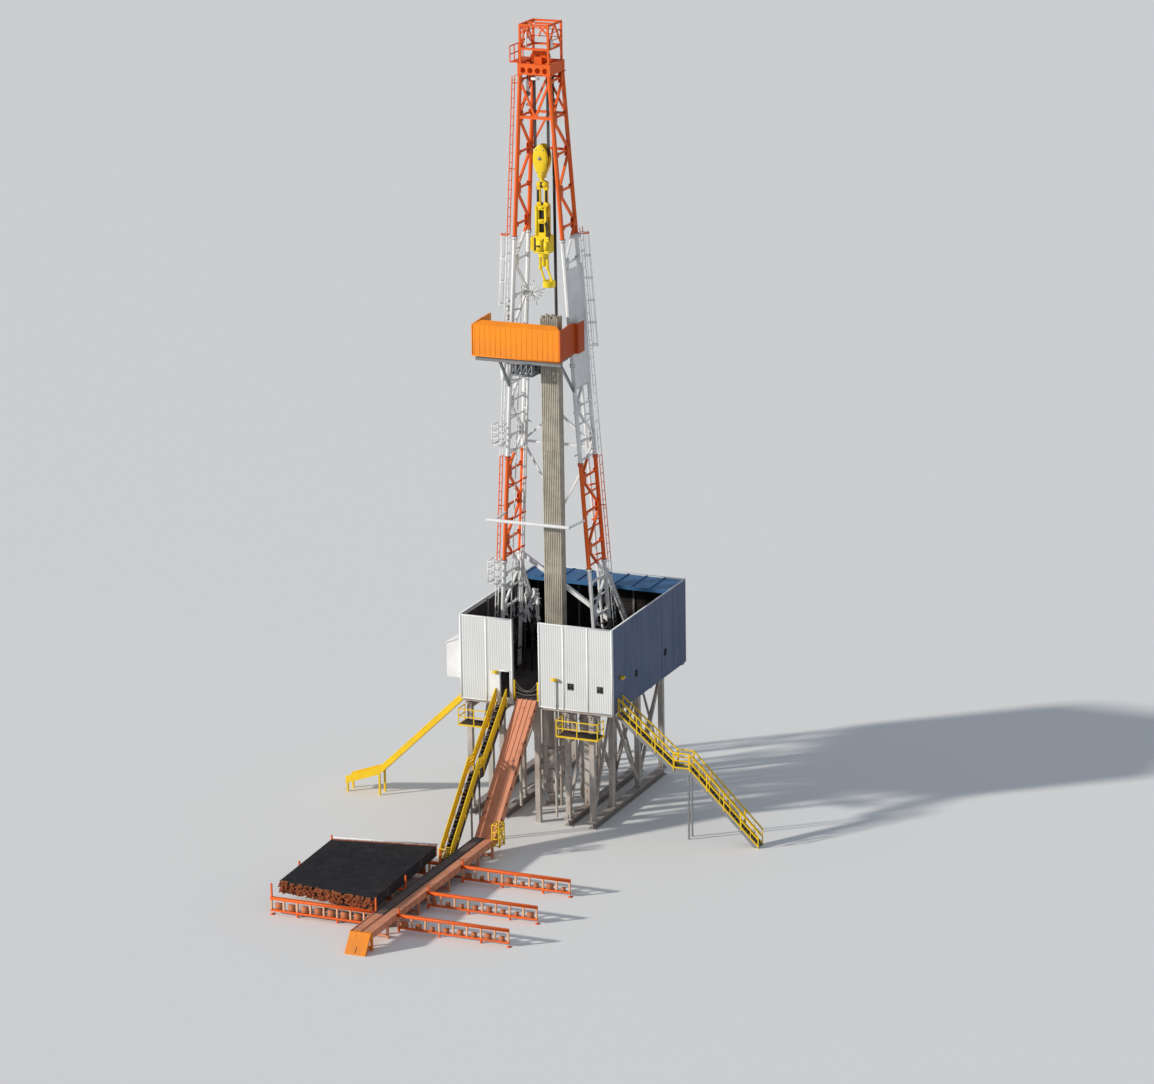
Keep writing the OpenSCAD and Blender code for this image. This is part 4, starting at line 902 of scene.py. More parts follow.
# Travelling gear: rounded cheeks, pins, bolts, a motor and hoses on the drive
gearSet = {"top": 22.275, "height": 1.100, "width": 0.520, "thick": 0.330, "bulge": 0.052,
           "axle": 21.845, "hook": 21.175, "drive": 20.300, "low": 19.300, "end": 18.750,
           "yoke": 18.300, "motor": (-0.335, -0.02, 0.078), "bail": 0.1225}


def blockHalf(s, share):
    # Round above, widest at two fifths of the height, drawn in to the foot
    wave = np.sin(math.pi * np.power(share, 0.72)).clip(0, 1)
    return np.maximum(0.28, np.power(wave, 0.75)) * s["width"] / 2


def addBlock(s):
    # Cheek: out of the flat side by bulge sqrt(1 - t^2) times a swell over the height
    share, t = np.meshgrid(np.linspace(0.0, 1.0, 33), np.sin(np.linspace(-1, 1, 25) * math.pi / 2),
                           indexing="ij")
    swell = np.sqrt(np.clip(1 - t ** 2, 0, 1)) * np.sqrt(np.sin(math.pi * share).clip(0, 1))
    x = blockHalf(s, share) * t
    z = s["top"] - s["height"] * share
    rows = gridRows(33, 25)
    parts = []
    for out, flip in ((-1, True), (1, False)):
        y = out * (s["thick"] / 2 + s["bulge"] * swell)
        parts.append((pointsAt(x, y, z).reshape(-1, 3), [rows[:, ::-1] if flip else rows]))
    addPiece("blockCheeks", joined(parts), "gear", "travelling_gear", smooth=True)
    y = s["thick"] / 2 + s["bulge"]
    pins = rodSet((0, -y - 0.02, s["axle"]), (0, y + 0.02, s["axle"]),
                  [(0, 0, 0.050), (0, 0.012, 0.062), (0, 0.03, 0.062), (1, -0.03, 0.062),
                   (1, -0.012, 0.062), (1, 0, 0.050)], 20)
    share = np.array([0.14, 0.14, 0.55, 0.55, 0.80, 0.80])
    bx = blockHalf(s, share) * np.array([-0.62, 0.62] * 3)
    bz = s["top"] - s["height"] * share
    ends = pointsAt(bx, y - 0.012, bz)
    bolts = plainRods(ends * (1, -1, 1), ends, 0.022)
    guard = np.linspace(0.36, 0.88, 21)
    edges = [sweep(pointsAt(side * (blockHalf(s, guard) + 0.002), 0.0,
                            s["top"] - s["height"] * guard), 0.022) for side in (-1, 1)]
    addPiece("blockPins", joined([pins, bolts]), "bolt", "travelling_gear")
    addPiece("blockGuards", joined(edges), "gear", "travelling_gear", smooth=True)


def addHook(s):
    # Turned barrel, ears and eyes round their own axes, measured down from the hook's head
    z = s["hook"]
    barrel = latheSet((0, 0, z), [(0.062, -0.33), (0.082, -0.32), (0.082, -0.24), (0.066, -0.23),
                                  (0.066, -0.12), (0.085, -0.11), (0.085, -0.07), (0.060, -0.06),
                                  (0.060, 0.02)], 24)
    ears = latheSet([(-0.085, 0, z - 0.19), (0.085, 0, z - 0.19)],
                    [(0.045, -0.118), (0.060, -0.112), (0.060, 0.112), (0.045, 0.118)], 20, "Y")
    eyes = latheSet(spread([-s["bail"], s["bail"]], [0.0], [z - 0.31, s["drive"] + 0.03]),
                    [(0.050, -0.068), (0.082, -0.060), (0.082, 0.060), (0.050, 0.068)], 20, "Y")
    addPiece("hookBody", joined([barrel, ears, eyes]), "gear", "travelling_gear", smooth=True)
    # Ribs down the bails and a latch between them
    ribs = boxSet([(-s["bail"] - 0.060, -0.062, s["drive"]), (s["bail"] - 0.02, -0.062, s["drive"]),
                   (-0.055, -0.095, z - 0.30), (-0.11, -0.05, s["drive"] + 0.02)],
                  [(-s["bail"] + 0.02, -0.050, z - 0.30), (s["bail"] + 0.060, -0.050, z - 0.30),
                   (0.055, -0.078, z - 0.12), (0.11, 0.05, s["drive"] + 0.07)])
    addPiece("hookRibs", ribs, "black", "travelling_gear")


def addDrive(s):
    # Motor radius r, and r + 12 mm at each fin, one fin in every 30 mm of height
    x, y, r = s["motor"]
    low, end = s["low"], s["end"]
    fins = np.arange(end + 0.10, low - 0.10, 0.03)
    shell = [(r - 0.02, end + 0.05), (r, end + 0.06)]
    for f in fins:
        shell += [(r, f), (r + 0.012, f + 0.004), (r + 0.012, f + 0.012), (r, f + 0.016)]
    shell += [(r, low - 0.06), (r - 0.02, low - 0.05)]
    motor = latheSet((x, y - 0.06, 0), shell, 20)
    shaft = latheSet((0, 0, 0), [(0.10, end - 0.16), (0.165, end - 0.15), (0.165, end - 0.10),
                                 (0.175, end - 0.09), (0.175, end - 0.02), (0.15, end)], 28)
    stem = latheSet((0, 0, 0), [(0.064, s["yoke"] - 0.01), (0.075, s["yoke"]),
                                (0.075, s["yoke"] + 0.12), (0.062, s["yoke"] + 0.13),
                                (0.062, end - 0.16)], 20)
    addPiece("driveMotor", joined([motor, shaft, stem]), "gear", "travelling_gear", smooth=True)


def addDriveCovers(s):
    # Covers, and dark boxes in the openings on the frame that paint the shade inside them, each
    # from its low corner to its high one
    low, end, top = s["low"], s["end"], s["drive"]
    covers = (((-0.205, -0.185, low + 0.02), (-0.115, -0.168, top - 0.04)),
              ((0.12, -0.185, low + 0.02), (0.205, -0.168, top - 0.04)),
              ((-0.10, -0.185, top - 0.10), (0.13, -0.168, top - 0.03)),
              ((-0.16, -0.235, end + 0.06), (0.06, -0.208, low - 0.10)),
              ((0.10, -0.235, end + 0.10), (0.24, -0.208, low - 0.16)),
              ((-0.20, -0.18, low + 0.46), (0.20, -0.172, low + 0.54)),
              ((0.196, -0.10, low + 0.62), (0.225, 0.10, top - 0.06)))
    addPiece("driveCovers", boxSet(*zip(*covers)), "gear", "travelling_gear")
    # Dark boxes: painted shade in the openings
    dark = (((-0.24, -0.218, end + 0.08), (-0.18, -0.207, low - 0.06)),
            ((0.07, -0.218, end + 0.05), (0.095, -0.207, low - 0.06)),
            ((-0.08, -0.10, low + 0.10), (0.10, 0.10, top - 0.10)),
            ((-0.392, -0.10, end + 0.16), (-0.388, 0.06, low - 0.16)),
            ((-0.15, -0.243, end + 0.20), (-0.02, -0.234, end + 0.26)))
    addPiece("driveOpenings", boxSet(*zip(*dark)), "black", "travelling_gear")


def addDriveFittings(s):
    # Hose at turn p: out by sin p and up by p / pi, bolts in a ring and in two upright rows
    low, end = s["low"], s["end"]
    turn = np.linspace(0, math.pi, 17)
    hose = []
    for dx, dz, rad in ((0.0, 0.0, 0.020), (0.05, 0.03, 0.016), (-0.05, -0.04, 0.016)):
        path = pointsAt(0.20 + dx + 0.05 * np.sin(turn), -0.19 + 0.02 * np.cos(turn),
                        low - 0.25 + dz + 0.75 * turn / math.pi)
        hose.append(sweep(path, rad))
    addPiece("driveHoses", joined(hose), "black", "travelling_gear", smooth=True)
    ring = ringTurns(16, 0)
    at = pointsAt(0.155 * np.cos(ring), 0.155 * np.sin(ring), end - 0.165)
    caps = spread([-0.24, 0.24], [-0.222], np.arange(end + 0.05, low - 0.02, 0.11))
    bolts = joined([plainRods(at, at + (0, 0, 0.02), 0.012),
                    plainRods(caps, caps + (0, 0.014, 0), 0.012)])
    addPiece("driveBolts", bolts, "bolt", "travelling_gear")


# Lines between crown and block: straight ropes in place of the frame's drilling lines
ropeSet = {"reach": 0.2293, "pitch": 0.048, "lines": 5, "low": 21.845, "high": 25.050,
           "radius": 0.009}


def addRopes(s):
    # Rope k of a row: k - (lines - 1) / 2 pitches from the middle, reach out to either side
    y = s["pitch"] * (np.arange(s["lines"]) - (s["lines"] - 1) / 2)
    low = spread([-s["reach"], s["reach"]], y, [s["low"]])
    high = low + (0, 0, s["high"] - s["low"])
    ropes = addPiece("drillingRopes", plainRods(low, high, s["radius"], 8), "wire", None,
                     smooth=True, stands=("drilling_lines",))
    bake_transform(ropes)


linkSetup = {"out": 0.170, "pin": 0.055, "eye": 0.125, "band": 0.203}


def addLinks(g, s):
    # Eyes at both ends of the links, the lower ones moved out, and a band of stepped radius
    top, low = g["yoke"] - 0.06, g["yoke"] - 0.62
    e, p = s["eye"], s["pin"]
    eyes = latheSet([(-e, 0, top), (e, 0, top), (-e + s["out"], 0, low + 0.07),
                     (e + s["out"], 0, low + 0.07)],
                    [(p - 0.02, -0.055), (p, -0.045), (p, 0.045), (p - 0.02, 0.055)], axis="Y")
    band = latheSet((s["out"], 0, low), [(0.18, -0.045), (s["band"], -0.03), (s["band"], 0.0),
                                         (0.195, 0.01), (0.195, 0.07), (s["band"], 0.08),
                                         (s["band"], 0.11), (0.18, 0.125)], 28)
    addPiece("elevatorBands", joined([eyes, band]), "gear", "travelling_gear", smooth=True)


addBlock(gearSet)
addHook(gearSet)
addDrive(gearSet)
addDriveCovers(gearSet)
addDriveFittings(gearSet)
addLinks(gearSet, linkSetup)
addRopes(ropeSet)
print("travelling gear finished")

# Preventer stack: bolts round each flange, hand wheels and bonnet ribs
stackSet = {"flanges": (0.035, 0.40, 0.83, 0.91, 1.29, 1.37, 1.875), "ring": 0.215, "bolts": 12,
            "units": (0.60, 1.06), "arm": 0.56, "wheel": 0.13}


def addStack(s):
    # Bolt p of a flange lies at ring (cos p, sin p), the wheels at arm from the axis
    z, turn = allPairs(s["flanges"], ringTurns(s["bolts"], 0))
    at = pointsAt(s["ring"] * np.cos(turn), s["ring"] * np.sin(turn), z)
    addPiece("stackBolts", plainRods(at - (0, 0, 0.052), at + (0, 0, 0.052), 0.016), "bolt")
    z, side = allPairs(s["units"], (-1.0, 1.0))
    centre = pointsAt(side * (s["arm"] + 0.01), 0.0, z)
    axis = np.tile((0.0, 1.0, 0.0), (len(z), 1))
    upright = np.tile((0.0, 0.0, 1.0), (len(z), 1))
    w = s["wheel"]
    wheels = linkSet(centre, axis, upright, (w, w), 0.014, 20, 6)
    spokes = [barSet(centre - d, centre + d, 0.014) for d in ((0, w, 0), (0, 0, w))]
    addPiece("stackWheels", joined([wheels] + spokes), "red")
    ribs = boxSet(spread([-0.26, -0.13, 0.0, 0.13], [-0.205], np.array(s["units"]) - 0.15),
                  spread([-0.20, -0.07, 0.06, 0.19], [-0.185], np.array(s["units"]) + 0.15))
    addPiece("stackRibs", ribs, "stack")


# Under the floor: tubes that hang from it, upright pipes, braces and plates on the columns
underSet = {"tubes": ((0.46, -1.62, 4.16, 1.60, 0.085), (0.72, -1.30, 4.16, 1.10, 0.070),
                      (-0.35, -1.55, 4.16, 2.10, 0.060), (0.30, -1.74, 4.16, 2.60, 0.045)),
            "uprights": ((-0.62, -1.20, 0.050), (-0.40, 0.60, 0.062), (-0.15, 1.50, 0.050),
                         (0.33, -1.88, 0.036), (0.62, -0.70, 0.055), (0.95, -1.86, 0.040),
                         (0.98, 0.20, 0.070), (1.10, 1.20, 0.045), (-0.75, 2.60, 0.060),
                         (0.45, 2.90, 0.050)),
            "rows": (-2.110, -0.960, 1.377, 2.242), "ys": (-1.840, -0.240, 1.960, 4.045),
            "low": 0.25, "high": 3.90}


def addTubes(s):
    # A tube has a collar a third of the way up and a wider head
    tubes = []
    for x, y, z1, z0, r in s["tubes"]:
        tubes.append(rodSet((x, y, z0), (x, y, z1),
                            [(0, 0, r * 0.8), (0, 0, r), (0.35, 0, r), (0.35, 0.01, r + 0.02),
                             (0.35, 0.07, r + 0.02), (0.35, 0.08, r), (1, -0.10, r),
                             (1, -0.09, r + 0.03), (1, 0, r + 0.03)], 16))
    addPiece("floorTubes", joined(tubes), "stack", smooth=True)


def addUprights(s):
    # Upright pipes from the skids to the floor, each with couplings, and level ones between them
    x, y, r = np.array(s["uprights"]).T
    low, high = pointsAt(x, y, s["low"]), pointsAt(x, y, s["high"])
    pipes = [rodSet(a, b, [(0, 0, w), (0.3, 0, w), (0.3, 0.01, w * 1.4), (0.3, 0.09, w * 1.4),
                           (0.3, 0.10, w), (0.75, 0, w), (0.75, 0.01, w * 1.35),
                           (0.75, 0.06, w * 1.35), (0.75, 0.07, w), (1, 0, w)], 12)
             for a, b, w in zip(low, high, r)]
    heights = np.linspace(0.8, 3.5, len(x) - 1)[:, None] * (0, 0, 1)
    pipes.append(barSet(low[:-1] * (1, 1, 0) + heights, low[1:] * (1, 1, 0) + heights, 0.055, 8))
    addPiece("underPipes", joined(pipes), "stack", smooth=True)


flowSet = {"start": 0.12, "x": 2.0, "y": 0.10, "rear": (0.5, 3.6), "z": 3.45, "bend": 0.25,
           "fall": 0.05, "rearFall": 0.10, "radius": 0.085, "flange": 0.125,
           "straps": (0.9, 2.1, 3.3), "strap": 0.035}


def addFlowLine(s):
    # To the right with a slight fall, round a quarter turn of radius r and off to the back
    x, y, z, r, drop = s["x"], s["y"], s["z"], s["bend"], s["fall"]
    y0, y1 = s["rear"]
    turn = np.linspace(0, math.pi / 2, 9)[1:]
    out, away = np.linspace(0, 1, 8), np.linspace(0, 1, 6)
    right = pointsAt(s["start"] + (x - r - s["start"]) * out, y, z - drop * out)
    bend = pointsAt(x - r + r * np.sin(turn), y + r - r * np.cos(turn), z - drop - 0.005)
    rear = pointsAt(x, y0 + (y1 - y0) * away, z - drop - 0.01 - s["rearFall"] * away)
    end = rear[-1]
    line = [sweep(np.concatenate([right, bend, rear]), s["radius"], 14),
            plainRods(end - (0, 0.02, 0), end + (0, 0.04, 0), s["flange"], 20)]
    addPiece("flowLine", joined(line), "stack", smooth=True)


def addBraces(s, flow):
    # Straps that carry the flow line, and crosses between the column rows at middle and back
    strap = spread([flow["x"]], flow["straps"], [flow["z"] - 0.02])
    straps = barSet(strap, strap + (0, 0, s["high"] + 0.04 - flow["z"]), flow["strap"])
    low, high, parts = s["low"] + 0.2, s["high"] - 0.2, [straps]
    for y in (s["ys"][2], s["ys"][3]):
        for x0, x1 in ((s["rows"][0], s["rows"][1]), (s["rows"][2], s["rows"][3])):
            parts.append(barSet([(x0, y + 0.03, low), (x1, y - 0.03, low)],
                                [(x1, y + 0.03, high), (x0, y - 0.03, high)], 0.06))
    x0, x1, y = s["rows"][1], s["rows"][2], s["ys"][3]
    parts.append(barSet((x0, y, high - 0.9), (x1, y, high - 0.9), 0.08))
    parts.append(barSet([(x0, y, high), (x1, y, high)], ((x0 + x1) / 2, y, high - 0.9), 0.06))
    addPiece("underBraces", joined(parts), "column")


def addColumnPlates(s):
    # Stiffeners are given as thin stepped plates at head and foot of each column
    x, y = allPairs(s["rows"], s["ys"])
    lo, hi = [], []
    low, high = s["low"], s["high"]
    for z0, z1, w in ((low + 0.03, low + 0.09, 0.115), (low + 0.09, low + 0.16, 0.100),
                      (high - 0.09, high - 0.03, 0.115), (high - 0.16, high - 0.09, 0.100)):
        for dx, dy in ((0.008, w), (w, 0.008)):
            lo.append(pointsAt(x - dx, y - dy, z0))
            hi.append(pointsAt(x + dx, y + dy, z1))
    addPiece("columnPlates", boxSet(np.concatenate(lo), np.concatenate(hi)), "column")
    sx, sy = allPairs((-1, 1), (-1, 1))
    at = pointsAt(x[:, None] + 0.103 * sx, y[:, None] + 0.103 * sy, low + 0.03).reshape(-1, 3)
    addPiece("columnBolts", plainRods(at, at + (0, 0, 0.022), 0.014), "bolt")


# Dark gratings with bearing bars on the floors of the two service platforms
gratingSet = {"spans": ((-2.212, -1.160), (1.287, 2.687)), "y": (-2.478, -1.935), "z": 3.3005,
              "plate": 0.004, "bar": 0.006, "rise": 0.012, "pitch": 0.055}


def addGratings(s):
    # A plate over each span, and bearing bars one pitch apart from its left end on
    y0, y1 = s["y"]
    parts = []
    for x0, x1 in s["spans"]:
        at = np.arange(x0 + 0.02, x1 - 0.02, s["pitch"])
        low = pointsAt(at, y0, s["z"])
        parts += [boxSet((x0, y0, s["z"]), (x1, y1, s["z"] + s["plate"])),
                  boxSet(low, low + (s["bar"], y1 - y0, s["rise"]))]
    addPiece("platformGratings", joined(parts), "floor")


addStack(stackSet)
addTubes(underSet)
addUprights(underSet)
addFlowLine(flowSet)
addBraces(underSet, flowSet)
addColumnPlates(underSet)
addGratings(gratingSet)
print("stack and underside placed")

# Shelter and board: folds on the front sheet, posts inside, fingers and the frame below
shelterSet = {"x": (-1.928, 1.198), "y": -1.500, "z": (15.500, 16.550), "folds": 17,
              "fold": 0.005, "posts": 8, "rails": (15.95, 16.48)}


def addShelter(s):
    # Folds at even steps along the front sheet, posts at even steps behind it
    x0, x1 = s["x"]
    z0, z1 = s["z"]
    at = np.linspace(x0 + 0.09, x1 - 0.09, s["folds"])
    folds = boxSet(pointsAt(at - 0.007, s["y"] - s["fold"], z0 + 0.045),
                   pointsAt(at + 0.007, s["y"], z1 - 0.03))
    out = s["y"] - 0.012
    hems = boxSet([(x0, out - 0.002, z0 + 0.01), (x0 - 0.004, out, z0), (x1 - 0.03, out, z0)],
                  [(x1, s["y"], z0 + 0.045), (x0 + 0.03, s["y"], z1), (x1 + 0.004, s["y"], z1)])
    addPiece("shelterFolds", joined([folds, hems]), "shelter")
    y = s["y"] + 0.052
    post = spread(np.linspace(x0 + 0.06, x1 - 0.12, s["posts"]), [y], [z0 + 0.062])
    posts = boxSet(post, post + (0.04, 0.04, z1 - z0 - 0.072))
    rail = spread([x0 + 0.06], [y], s["rails"])
    rails = boxSet(rail, rail + (x1 - x0 - 0.12, 0.03, 0.03))
    # A dark skin behind the front sheet: painted shade inside the shelter
    lining = boxSet((x0 + 0.051, y - 0.001, z0 + 0.062), (x1 - 0.051, y + 0.004, z1 - 0.03))
    addPiece("shelterPosts", joined([posts, rails]), "white")
    addPiece("shelterShadeLining", lining, "lining")


boardSet = {"fingers": (-1.78, 0.10, 19), "reach": (-1.20, -0.50), "lift": 16.31,
            "carriers": (-1.19, -0.80), "stands": (-1.78, -0.9, 0.10), "floor": 15.56,
            "frameX": (-0.62, 0.12), "frameZ": (14.95, 15.34), "frameY": (-1.36, -1.22, -0.62),
            "screen": ((-0.950, -0.640, 14.860), (0.105, -0.622, 15.450))}


def addBoard(s):
    # Fingers at even steps, every second one 40 mm longer than its neighbours
    x0, x1, n = s["fingers"]
    x = np.linspace(x0, x1, n)
    ends = s["reach"][1] - 0.04 * (np.arange(n) % 2)
    fingers = boxSet(pointsAt(x - 0.008, s["reach"][0], s["lift"]),
                     pointsAt(x + 0.008, ends, s["lift"] + 0.045))
    carrier = spread([x0 - 0.03], s["carriers"], [s["lift"] - 0.03])
    carriers = boxSet(carrier, carrier + (x1 - x0 + 0.06, 0.04, 0.03))
    stand = spread(s["stands"], s["carriers"], [s["floor"]])
    stands = boxSet(stand, stand + (0.03, 0.03, s["lift"] - 0.03 - s["floor"]))
    addPiece("boardFingers", joined([fingers, carriers, stands]), "white")
    # Frame that hangs under the board: two ladders of bars with cross bars
    (xa, xb), (za, zb) = s["frameX"], s["frameZ"]
    parts = []
    for y in s["frameY"]:
        parts.append(barSet([(xa, y, za), (xa, y, zb)], [(xb, y, za), (xb, y, zb)], 0.05))
        at = np.linspace(xa, xb, 5)
        a = pointsAt(at, y, za)
        parts.append(barSet(a, a + (0, 0, zb - za), 0.04))
        parts.append(barSet(a[:-1], a[1:] + (0, 0, zb - za), 0.03))
    ends = spread([xa, xb], [s["frameY"][0]], [za, zb])
    parts.append(barSet(ends, ends + (0, s["frameY"][-1] - s["frameY"][0], 0), 0.05))
    parts.append(boxSet(*s["screen"]))
    addPiece("boardFrame", joined(parts), "grey")


addShelter(shelterSet)
addBoard(boardSet)
print("shelter and board finished")

# Pipe opening: two posts with brackets and three chains of real links
mouthSet = {"half": 0.4525, "post": 0.06, "front": -2.045, "floor": 4.225, "height": 0.65,
            "chains": ((0.61, 0.300), (0.43, 0.160), (0.23, 0.060)), "link": (0.021, 0.013),
            "wire": 0.0048, "step": 0.031}


def addMouthPosts(s):
    # Posts at both sides of the opening, with a bracket for each chain
    h, w, f, z = s["half"], s["post"], s["front"], s["floor"]
    lo = [(-h, f, z), (h - w, f, z), (-h, f - 0.012, z), (h - w, f - 0.012, z)]
    hi = [(-h + w, f + w, z + s["height"]), (h, f + w, z + s["height"]),
          (-h + w, f + w + 0.012, z + 0.05), (h, f + w + 0.012, z + 0.05)]
    for up in [chain[0] for chain in s["chains"]]:
        lo += [(-h + w, f + 0.015, z + up - 0.02), (h - w - 0.012, f + 0.015, z + up - 0.02)]
        hi += [(-h + w + 0.012, f + 0.045, z + up + 0.02), (h - w, f + 0.045, z + up + 0.02)]
    addPiece("mouthPosts", boxSet(lo, hi), "yellow", stands=("vdoor_posts",))


def addMouthChains(s):
    # Height sag u^2 over the lowest point, links set at even steps along the chain's length
    h, w, f, z = s["half"], s["post"], s["front"], s["floor"]
    parts = []
    for up, sag in s["chains"]:
        u = np.linspace(-1, 1, 400)
        x = u * (h - w - 0.004)
        y = z + up - sag * (1 - u ** 2)
        run = np.concatenate([[0], np.cumsum(np.hypot(np.diff(x), np.diff(y)))])
        count = int(run[-1] / s["step"])
        at = (np.arange(count) + 0.5) * run[-1] / count
        px, pz = np.interp(at, run, x), np.interp(at, run, y)
        centres = pointsAt(px, f + 0.030, pz)
        along = pointsAt(np.gradient(px), 0.0, np.gradient(pz))
        along /= np.linalg.norm(along, axis=1, keepdims=True)
        level = np.tile((0.0, 1.0, 0.0), (count, 1))
        upright = np.cross(along, level)
        across = np.where((np.arange(count) % 2 == 0)[:, None], level, upright)
        parts.append(linkSet(centres, along, across, s["link"], s["wire"]))
    addPiece("mouthChains", joined(parts), "bolt")


# Ramp and catwalk: plate joints, edge strips, stiffeners and yellow frames at the foot
walkSet = {"half": 0.35, "z": 0.600, "start": -5.500, "end": -14.700, "plates": 8,
           "foot": (-5.50, 0.60), "head": (-2.00, 4.225), "crossbars": 9, "stiffGap": 0.42}


def addWalk(s):
    # Plate joints at even steps from the start to the end of the deck
    y = np.linspace(s["start"], s["end"], s["plates"] + 1)[1:-1]
    h = s["half"]
    lo = [(x, v - 0.006, s["z"] - 0.001) for x in (-h, 0.04) for v in y]
    hi = [(x, v + 0.006, s["z"] + 0.003) for x in (-0.047, h) for v in y]
    lo += [(h - 0.02, s["end"], s["z"]), (-h, s["end"], s["z"])]
    hi += [(h, s["start"] - 0.1, s["z"] + 0.018), (-h + 0.02, s["start"] - 0.1, s["z"] + 0.018)]
    addPiece("walkJoints", boxSet(lo, hi), "catwalk")
    # Groove that runs on down the sloping tip
    tip = barSet((0, s["end"] + 0.02, s["z"] - 0.002), (0, s["end"] - 0.418, 0.064), 0.024,
                 depth=0.010)
    addPiece("tipGroove", tip, "black")
    places = np.arange(s["end"] + 0.3, s["start"] - 0.1, s["stiffGap"])
    stiff = spread((-h - 0.012, h), places - 0.008, [s["z"] - 0.19])
    addPiece("walkStiffeners", boxSet(stiff, stiff + (0.012, 0.016, 0.155)), "ramp")
    # Cross bars under the ramp
    foot, head = np.array(s["foot"]), np.array(s["head"])
    share = np.linspace(0.05, 0.95, s["crossbars"])[:, None]
    at = foot + (head - foot) * share
    a = pointsAt(-h, at[:, 0], at[:, 1] - 0.12)
    addPiece("rampCrossbars", barSet(a, a * (-1, 1, 1), 0.09), "ramp")


gateSet = {"x": (0.355, 0.600), "y": (-5.70, -5.30), "z": (0.40, 1.15), "bar": 0.035}
footSet = {"x": (-1.075, -0.660), "y": (-6.69, -6.50), "z": (0.0, 0.50), "bar": 0.030}


def addGate(name, s):
    # Four posts and four even hoops
    corners = spread(s["x"], s["y"], [s["z"][0]])
    parts = [barSet(corners, corners + (0, 0, s["z"][1] - s["z"][0]), s["bar"])]
    for z in np.linspace(s["z"][0] + 0.05, s["z"][1], 4):
        parts.append(hoopBars(s["x"], s["y"], z, s["bar"] * 0.9))
    # Two diagonals across the right side
    x, (y0, y1), (z0, z1) = s["x"][1], s["y"], s["z"]
    parts.append(barSet([(x, y0, z0), (x, y1, z0)], [(x, y1, z1), (x, y0, z1)], s["bar"]))
    addPiece(name, joined(parts), "yellow")


addMouthPosts(mouthSet)
addMouthChains(mouthSet)
addWalk(walkSet)
addGate("rampGate", gateSet)
addGate("stairFoot", footSet)
print("pipe opening, ramp and catwalk finished")

# Stairs: thicker rails along both sides, a closed dark underside and grey nosings
stairSets = ({"path": ((-2.050, 4.050), (-3.966, 2.325), (-4.346, 2.325), (-6.600, 0.030)),
              "middle": -0.867, "turned": False, "rails": (0.190, 0.300, 0.410, 0.520),
              "gap": 0.085},
             {"path": ((3.080, 4.050), (5.046, 2.400), (5.616, 2.400), (7.986, 0.030)),
              "middle": -1.550, "turned": True, "rails": (0.025, 0.270, 0.520), "gap": 0.50})
stairShape = {"half": 0.190, "radius": 0.025, "under": 0.13, "nosing": 0.118, "baluster": 0.018}


def stairPoint(stair, across, run, z):
    # The stair runs along x where it is turned and along y otherwise
    across = stair["middle"] + across
    return pointsAt(run, across, z) if stair["turned"] else pointsAt(across, run, z)


def addStairs(sets, s):
    # Rails follow the path at each lift, the underside follows it below the steps
    rails, soffits, nosings = [], [], []
    for stair in sets:
        run, z = np.array(stair["path"]).T
        for side in (-1, 1):
            for lift in stair["rails"]:
                at = stairPoint(stair, side * s["half"], run, z + lift)
                at[0] += (at[1] - at[0]) * 0.02
                rails.append(barSet(at[:-1], at[1:], s["radius"] * 2, 8))
            # Upright bars at an even gap along the way, from the lowest rail to the top one
            reach = np.concatenate([[0], np.cumsum(np.hypot(np.diff(run), np.diff(z)))])
            steps = np.arange(0.10, reach[-1] - 0.05, stair["gap"])
            foot = stairPoint(stair, side * s["half"], np.interp(steps, reach, run),
                              np.interp(steps, reach, z))
            rails.append(barSet(foot + (0, 0, stair["rails"][0]), foot + (0, 0, stair["rails"][-1]),
                                s["baluster"]))
        at = stairPoint(stair, 0.0, run, z - s["under"])
        soffits.append(barSet(at[:-1], at[1:], 0.33, depth=0.012))
        for k in (0, 2):
            count = int(abs(z[k + 1] - z[k]) / s["nosing"])
            share = np.arange(1, count) / count
            r = run[k] + (run[k + 1] - run[k]) * share
            h = z[k] + (z[k + 1] - z[k]) * share + 0.004
            nosings.append(barSet(stairPoint(stair, -0.15, r, h), stairPoint(stair, 0.15, r, h),
                                  0.014))
    addPiece("stairRails", joined(rails), "yellow", smooth=True)
    addPiece("stairSoffits", joined(soffits), "black")
    addPiece("stairNosings", joined(nosings), "grey")


addStairs(stairSets, stairShape)
print("stairs finished")

# Racks: rusty blocks between the uprights, edge plates and feet
rackSet = {"ys": (-8.050, -10.620, -12.780), "right": (0.35, 4.10), "left": (-0.35, -3.98),
           "blocks": 8}


def addRacks(s):
    # Block k of a rack lies (k + 1/2) / blocks of the way along it
    share = (np.arange(s["blocks"]) + 0.5) / s["blocks"]
    right, left = (x0 + share * (x1 - x0) for x0, x1 in (s["right"], s["left"]))
    lo, hi = [], []
    for y in s["ys"]:
        size = rng.uniform(0.05, 0.11, len(share))
        lo.append(pointsAt(right - size, y - 0.055, 0.17))
        hi.append(pointsAt(right + size, y + 0.05, 0.24 + size))
        lo.append(pointsAt(left - 0.11, y - 0.052, 0.19))
        hi.append(pointsAt(left + 0.11, y + 0.02, 0.40))
    addPiece("rackBlocks", boxSet(np.concatenate(lo), np.concatenate(hi)), "sleeve")
    plates = []
    for y in s["ys"]:
        for x0, x1 in (s["right"], s["left"]):
            plates.append(((x0, y - 0.058, 0.500), (x1, y - 0.050, 0.572)))
            plates.append(((x1 - 0.06, y - 0.09, 0.0), (x1 + 0.06, y + 0.09, 0.012)))
    addPiece("rackEdges", boxSet(*zip(*plates)), "rack")


